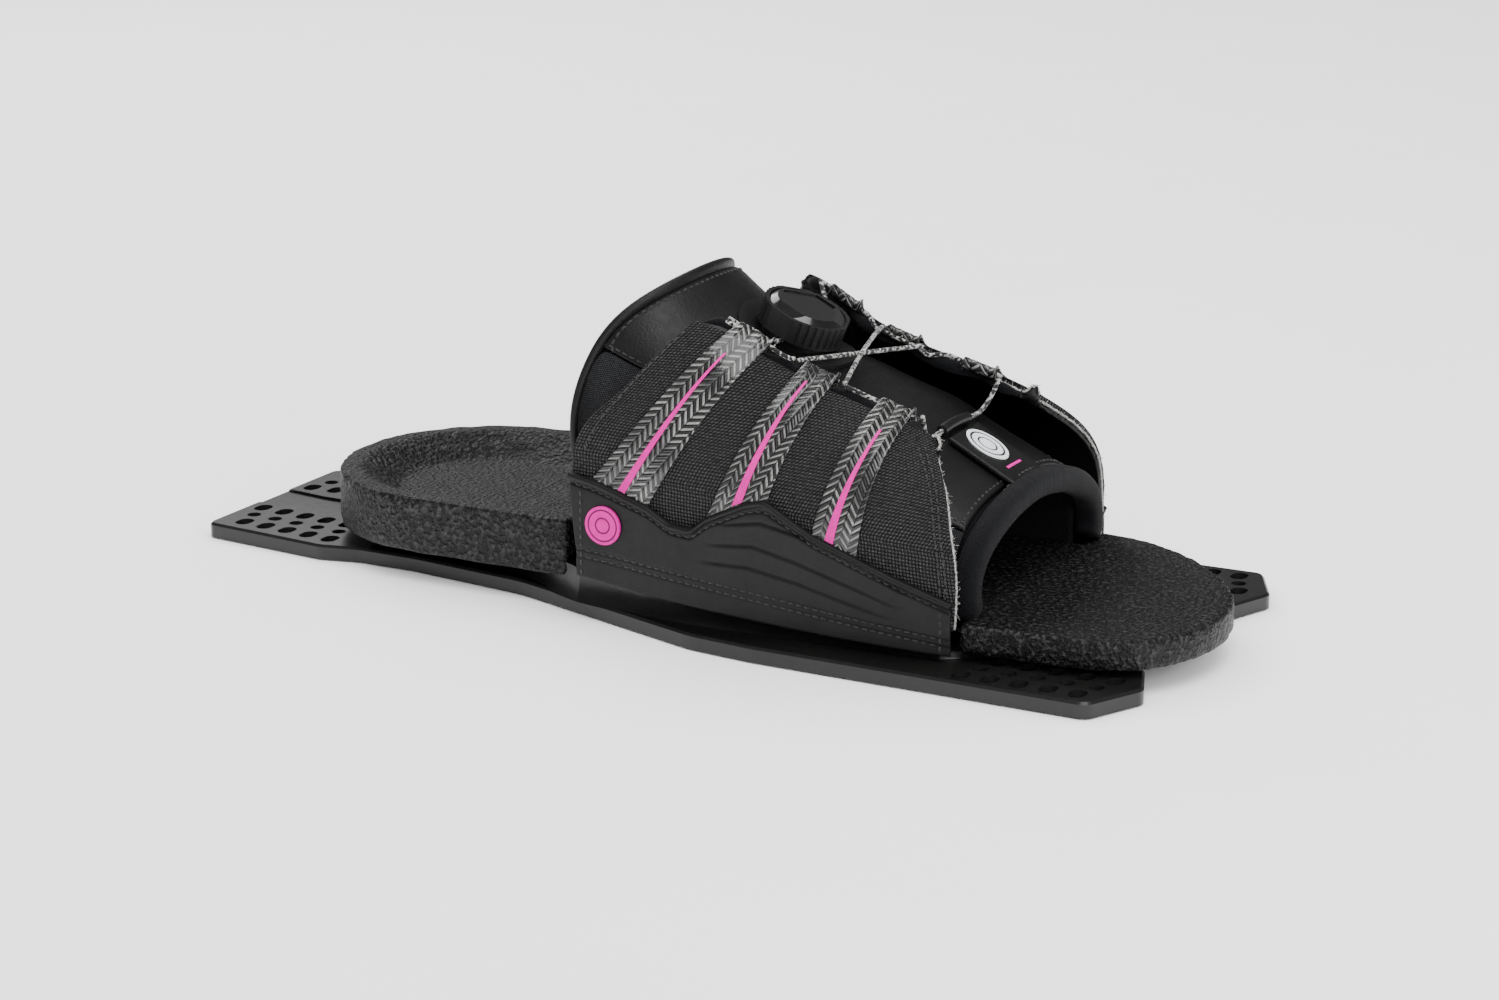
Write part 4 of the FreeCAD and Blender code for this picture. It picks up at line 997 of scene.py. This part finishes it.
def make_lining(face, grid):
    normals = outward_normals(grid, face.out)
    base = grid - normals * LINING_DEPTH
    up = unit(base[:, -1] - base[:, -5])
    height = np.array([lip_height(face, x) for x in base[:, -1, 0]])
    lip = []
    for share in (0.2, 0.4, 0.6, 0.8, 1.0):
        lift = up * ((height + 0.05) * share)[:, None]
        curl = normals[:, -1] * (LIP_LEAN * height * share ** 2)[:, None]
        lip.append(base[:, -1] + lift - curl)
    whole = np.concatenate([base, np.stack(lip, axis=1)], axis=1)
    piece = sheet(face.name + "_lining", whole, LINING_SHEET, "lining", face.out, rounding=1.0)
    stands_for(piece, face.body, "neoprene", face.name + "_panel_lining")
    edge = lip[-1] - normals[:, -1] * LINING_SHEET * 0.5
    edge = edge[(edge[:, 0] > face.corner + 0.3) & (edge[:, 0] < TOE_CORNER_X - 0.3)]
    path = even_path(edge, 0.8)
    width = np.array([0.25 + 3.6 * lip_height(face, x) / SCALLOP for x in path[:, 0]])
    profile = oval(1.0, 1.0, 16, 2.0)[None] * width[:, None, None]
    roll = sweep(face.name + "_lip", [path], [repeated(UP, len(path))], [profile], "neoprene")
    puff(roll, 3.0, 0.35)
    stands_for(roll, face.body, "neoprene")


FRAY_LENGTH = 1.3
FRAY_RADIUS = 0.07
FRAY_START = 40.0  # along the left panel's top
FRAY_CENTRE = np.array((50.0, 0.0, 35.0))


def make_raw_edge(face, grid):
    """Pale cut edge of the canvas along the toe, with loose fibres."""
    normals = outward_normals(grid, face.out)
    under = grid - normals * (PANEL_SHEET + 0.1)
    toe, top = under[-1, 2:-1], under[::-1, -1]
    start = FRAY_START if face.sign > 0 else TOE_CORNER_X - 4
    top = top[top[:, 0] > start]
    path = even_path(np.concatenate([toe, top]), 0.6)
    path = smooth(path, 3) + rng.normal(0, 0.06, path.shape)
    outwards = unit((path - FRAY_CENTRE) * np.array((1, 0, 1)))
    widths = 0.62 + 0.25 * rng.random(len(path))
    profile = oval(1.0, 1.0, 8, 2.0)[None] * widths[:, None, None]
    fibre = repeated(oval(2 * FRAY_RADIUS, 2 * FRAY_RADIUS, 3, 2.0), 4)
    paths, ways, profiles = [path], [outwards], [profile]
    for index in range(1, len(path) - 1):
        for _ in range(2):
            direction = outwards[index] + rng.normal(0, 0.6, 3)
            share = np.linspace(0, 1, 4)[:, None]
            bend = rng.normal(0, 0.35, 3) * share ** 2
            hair = path[index] + (unit(direction) * share + bend) * FRAY_LENGTH * rng.random()
            paths.append(hair + 1e-4 * UP * share)
            ways.append(repeated((0.1, 0.9, 0.3), 4))
            profiles.append(fibre)
    piece = sweep(face.name + "_raw_edge", paths, ways, profiles, "raw_edge")
    stands_for(piece, face.body, "canvas")


# ---- rand

BEAD = 1.1
BEAD_WIDTH = 2.0
GROOVE = 0.35
GROOVE_BELOW = 2.9  # the seam
RIDGE_STEP = 0.42
RIDGE_FALL = 5.0
RIDGE_ENDS = (4, 5)  # how far a ridge runs on past its line
RIDGE_FADES = (8, 14)
HEM_SINK = 0.22
SOFT = 0.45  # half width of a shallow groove
RUBBER_SHEET = 1.15
FOLD_X = 44.5


def rand_relief(face, x, z):
    """Height of the rubber above its skin."""
    below = face.seam(x) - z
    rise = 0.0
    if below < BEAD_WIDTH:
        rise += BEAD * math.sqrt(max(0.0, 1 - (below / BEAD_WIDTH * 2 - 1) ** 2))
    rise -= GROOVE * math.exp(-((below - GROOVE_BELOW) / 0.5) ** 2)
    for line in CHEVRONS:
        xs, zs = zip(*line)
        start, end = x - xs[0] + RIDGE_ENDS[0], xs[-1] + RIDGE_ENDS[1] - x
        if start > 0 and end > 0:
            fade = min(1.0, start / RIDGE_FADES[0]) * min(1.0, end / RIDGE_FADES[1])
            under = np.interp(x, xs, zs) - z
            step = (0.5 + 0.5 * math.tanh(under / 0.35))
            step *= math.exp(-max(0.0, under) / RIDGE_FALL)
            sunk = 0.5 * GROOVE * math.exp(-((under + 0.5) / SOFT) ** 2)
            rise += fade * (RIDGE_STEP * step - sunk)
    for (x0, z0), (x1, z1) in HEM_ROWS:
        row = z0 + (z1 - z0) * (x - x0) / (x1 - x0)
        rise -= HEM_SINK * math.exp(-((z - row) / SOFT) ** 2)
    return rise


def make_rand(face):
    """Rubber foot from the hem to the seam."""
    rows, rises = [], []
    shares = np.concatenate([np.linspace(0, 0.82, 60), np.linspace(0.82, 1, 26)[1:]])
    x0, x1 = face.hem.low[0] + 0.1, face.hem.high[0] - 0.1
    for across in steps(190):
        row, rise_row = [], []
        for up in shares:
            x = x0 + across * (x1 - x0)
            low = face.hem_low(x) + 0.15
            z = low + up * (face.seam(x) - low)
            if z > face.panel.low[2] + 8:
                rear, toe = face.rear(z) + 0.1, face.toe(z) - 0.1
                x = rear + across * (toe - rear)
                z = low + up * (face.seam(x) - low)
            row.append((x, face.rubber(x, z, 0.05)[1], z))
            rise_row.append(rand_relief(face, x, z))
        rows.append(row)
        rises.append(rise_row)
    grid = smooth(np.array(rows), 1, 0)
    piece = sheet(face.name + "_rubber_foot", grid, RUBBER_SHEET, "rubber", face.out,
                  np.array(rises), rounding=0.4)
    low = face.rand_low(FOLD_X)
    y = face.rand.side(FOLD_X, low + 1, face.sign)[1]
    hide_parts(face.name + "_rand", face.name + "_hem")
    thread = make_rand_stitches(face)
    for made in (piece, thread):
        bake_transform(made)


def rand_line(face, flat):
    """A side-view line on the rubber, with its normals."""
    points = []
    for x, z in even_path(flat, 1.2):
        y = face.rubber(x, z, 0.1)[1] + face.sign * rand_relief(face, x, z)
        points.append((x, y, z))
    normal = unit(np.array((0.0, face.sign, 0.06)))
    return np.array(points), repeated(normal, len(points))


def make_rand_stitches(face):
    xs = np.linspace(face.rand.low[0] + 2.2, face.rand.high[0] - 3.6, 80)
    lines = [[(x, face.seam(x) - 2.9) for x in xs]]
    for x in (face.hem.low[0] + 2.0, face.hem.high[0] - 3.0):
        lines.append([(x, face.hem_low(x) + 1.0), (x, face.seam(x) - 3.4)])
    lines += HEM_ROWS
    return stitches(face.name + "_rand_stitches", [rand_line(face, flat) for flat in lines])


# ---- braided strips

STRIP_LIFT = 0.7
STRIP_SHEET = 0.55
BRAID_RELIEF = 0.16
LOOP_RADIUS = 1.75
EDGE_HEIGHTS = (48.0, 58.0)  # where a strip's edges are read
EDGE_PLACES = (25.0, 80.0)


def loop_span(face, strip):
    """Where along X a strip's lace loop starts and ends."""
    points = strip.points
    edge = [abs(face.point(x, face.top(x) - 0.15)[1]) for x in EDGE_PLACES]
    limit = np.interp(points[:, 0], EDGE_PLACES, edge)
    ring = points[(np.abs(points[:, 1]) < limit - 1.3) & (points[:, 2] > 60)]
    return np.array((ring[:, 0].min(), ring[:, 0].max()))


def braid_height(u, v):
    """Relief of the braid, with the same tows as its material."""
    local = (u / BRAID_COLUMN) % 1
    sign = 2 * (np.floor(u / BRAID_COLUMN) % 2) - 1
    tow = (v + sign * local * BRAID_COLUMN * BRAID_SLOPE) / BRAID_TOW
    round_tow = 1 - (2 * (tow % 1) - 1) ** 2
    return round_tow * (1 - (2 * local - 1) ** 4)


def off_skin(along, face):
    """Unit directions off the panel's skin, square to lines that climb it."""
    out = unit(np.cross(np.array((1.0, 0, 0)), along))
    return out * np.sign((out * face.out).sum(-1, keepdims=True))


def make_strip(face, name):
    """Braided tape from under the rand, over the panel's edge and round the lace."""
    strip = skin(face.name + "_" + name + "_strip")
    low_x, high_x = (np.array([strip.limit(2, z, 0, high) for high in (False, True)])
                     for z in EDGE_HEIGHTS)
    slopes = (high_x - low_x) / (EDGE_HEIGHTS[1] - EDGE_HEIGHTS[0])
    first_x, last_x = loop_span(face, strip)

    def x_at(z):
        left, right = low_x + slopes * (z - EDGE_HEIGHTS[0])
        return left + share * (right - left)

    columns = []
    for share in steps(64):
        bottom = top = 50.0
        for _ in range(30):
            bottom = 0.6 * bottom + 0.4 * (face.seam(x_at(bottom)) - 1.2)
            top = 0.5 * top + 0.5 * face.top(x_at(top))
        line = np.array([face.point(*face.inside(x_at(z), z, 0.15))
                         for z in np.linspace(bottom, top - 0.3, 150)])
        up = unit(line[-1] - line[-6])
        out = off_skin(up, face)
        line = line + off_skin(np.gradient(line, axis=0), face) * STRIP_LIFT
        x = first_x + 0.3 + share * (last_x - first_x - 0.6)
        angle = (np.linspace(0.15, 1.28, 22) * math.pi)[:, None]
        ring = LOOP_RADIUS * (np.cos(angle) * out + np.sin(angle) * up)
        columns.append(np.concatenate([line, face.loop_centre(strip, x) + ring]))
    grid = smooth(np.array(columns), 2, 1)
    if faces_inward(grid, face.out):
        grid = grid[::-1]
    v_start = (grid[:, :1] * unit(np.array((slopes.mean(), 0.0, 1.0)))).sum(-1)
    u, v = arc_lengths(grid, 0), arc_lengths(grid, 1) + v_start
    height = BRAID_RELIEF * (braid_height(u, v) - 0.5)
    piece = sheet(face.name + "_" + name + "_braid", grid, STRIP_SHEET, "braid",
                  face.out, height, rounding=0.3, v_start=v_start)
    stands_for(piece, face.body, "carbon_tape", face.name + "_" + name + "_strip")


# ---- toe tab and lace

TAB_SHEET = 1.6
BAR_HALF_LENGTH = 4.6
BAR_HALF_WIDTH = 0.4
BAR_GAP = 8.2  # from the emblem's middle
BAR_RISE = 0.14


def make_tab():
    """Leather strap over the toe end of the ridge, with a plain bar printed on it."""
    shape = skin("toe_tab")
    x0, x1 = shape.low[0] + 0.2, shape.high[0] - 0.2
    y1 = shape.high[1] - 0.2
    grid = []
    for x in x0 + (x1 - x0) * steps(40):
        grid.append([shape.below(x, y) for y in y1 * (2 * steps(36) - 1)])
    grid = smooth_grid(grid, 2)
    piece = sheet("toe_strap", grid, TAB_SHEET, "leather", UP)
    stands_for(piece, "root", "leather", "toe_tab")
    low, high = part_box("tab_emblem")
    at = (low.x + high.x) / 2 / METRE + BAR_GAP
    bar = []
    for x in at + BAR_HALF_WIDTH * np.linspace(-1, 1, 5):
        ys = BAR_HALF_LENGTH * np.linspace(-1, 1, 12)
        bar.append([shape.below(x, y) + BAR_RISE * UP for y in ys])
    mark = sheet("strap_bar", np.array(bar), 0.16, "pink", UP, rounding=0.08)
    stands_for(mark, "root", "pink")


LACE_RADIUS = 0.66
SLICE_PITCH = 1.2
CORD_STEP = 0.35
KNIT_WAVES = 4
KNIT_PITCH = 4.2
KNIT_DEPTH = 0.06


def spines(node, axis, keep=None):
    """Middle lines of the cords in a node, from slices across an axis."""
    shape = skin(node)
    found = [[]]
    for value in np.arange(shape.low[axis] + 0.15, shape.high[axis] - 0.1, SLICE_PITCH):
        points = shape.section(axis, value)
        points = points[keep(points)] if keep else points
        if len(points) < 4:
            found.append([])
        else:
            found[-1].append((points.min(0) + points.max(0)) / 2)
    return [even_path(smooth(np.array(path), 1), CORD_STEP) for path in found if len(path) > 2]


def make_cord(name, node, paths, body):
    ways, profiles = [], []
    for path in paths:
        ways.append(repeated((0.31, 0.23, 0.92), len(path)))
        along = np.arange(len(path))[:, None] * CORD_STEP * KNIT_PITCH
        angle = np.linspace(0, 2 * math.pi, 12, endpoint=False)[None]
        knit = np.sin(KNIT_WAVES * angle + along) * np.sin(KNIT_WAVES * angle - along)
        radius = LACE_RADIUS * (1 + KNIT_DEPTH * knit)
        profiles.append(np.stack([radius * np.cos(angle), radius * np.sin(angle)], axis=-1))
    piece = sweep(name, paths, ways, profiles, "lace")
    stands_for(piece, body, "lace", node)


def make_lace():
    for side, _ in SIDES:
        node = side + "_lace_run"
        make_cord(side + "_edge_cord", node, spines(node, 0), side + "_side")
    for node in ("rear_lace_cross", "front_lace_cross", "toe_lace_span"):
        make_cord(node.replace("lace", "cord"), node, spines(node, 1), "root")
    leads = []
    for sign in (-1, 1):
        leads += spines("dial_lace_leads", 1, lambda points: points[:, 1] * sign > 0)
    make_cord("dial_cords", "dial_lace_leads", leads, "root")


# ---- stage, light and camera

def make_floor():
    mesh = bpy.data.meshes.new("floor")
    half, drop = 9.0, -0.0004
    corners = [(-half, -half, drop), (half, -half, drop), (half, half, drop), (-half, half, drop)]
    mesh.from_pydata(corners, [], [(0, 1, 2, 3)])
    look = Look("floor_paper", 0.9, 0.1)
    look.colour(look.mix(look.noise(60.0), grey(0.9), grey(0.94)))
    mesh.materials.append(look.material)
    add_object("floor", mesh)


def make_world():
    """White surroundings that light the floor more than they show in reflections."""
    world = bpy.data.worlds.new("studio")
    world.use_nodes = True
    tree = world.node_tree
    background = tree.nodes["Background"]
    background.inputs["Color"].default_value = (1, 1, 1, 1)
    path = tree.nodes.new("ShaderNodeLightPath")
    scale = tree.nodes.new("ShaderNodeMapRange")
    scale.inputs["To Min"].default_value = 1.9
    scale.inputs["To Max"].default_value = 0.2
    tree.links.new(path.outputs["Is Glossy Ray"], scale.inputs["Value"])
    tree.links.new(scale.outputs[0], background.inputs["Strength"])
    bpy.context.scene.world = world


# Place, aim point, size and power of each soft light.
LIGHTS = [((0.35, -0.25, 1.1), (0.02, 0.0, 0.05), 0.7, 9.0),
          ((-0.9, 0.7, 0.9), (0.0, 0.0, 0.05), 0.8, 9.0),
          ((1.1, -0.5, 0.5), (0.05, 0.0, 0.04), 0.5, 6.0)]


def aimed(data, place, way):
    """Light or camera at a place, looking along a way."""
    made = add_object(data.name, data)
    made.location = place
    made.rotation_mode = "QUATERNION"
    made.rotation_quaternion = way.to_track_quat("-Z", "Y")
    return made


def make_lights():
    for index, (place, aim, size, power) in enumerate(LIGHTS):
        data = bpy.data.lights.new("soft_light_%d" % index, "AREA")
        data.size, data.energy = size, power
        aimed(data, place, Vector(aim) - Vector(place))


def make_camera():
    data = bpy.data.cameras.new("camera")
    data.lens, data.sensor_width = CAMERA_LENS, 36.0
    data.clip_start, data.clip_end = 0.01, 40.0
    back = Vector(CAMERA_BACK).normalized()
    place = (Vector(CAMERA_TARGET) + back * CAMERA_DISTANCE) * METRE
    bpy.context.scene.camera = aimed(data, place, -back)


# ---- build

paint_frame()
make_footbed()
make_tongue()
make_binding()
make_collar()
for side_name, side_sign in SIDES:
    make_gusset(side_name, side_sign)
    panel_face = Side(side_name, side_sign)
    make_panel(panel_face)
    make_rand(panel_face)
    for strip_name in STRIP_NAMES:
        make_strip(panel_face, strip_name)
make_tab()
make_lace()
make_floor()
make_world()
make_lights()
make_camera()
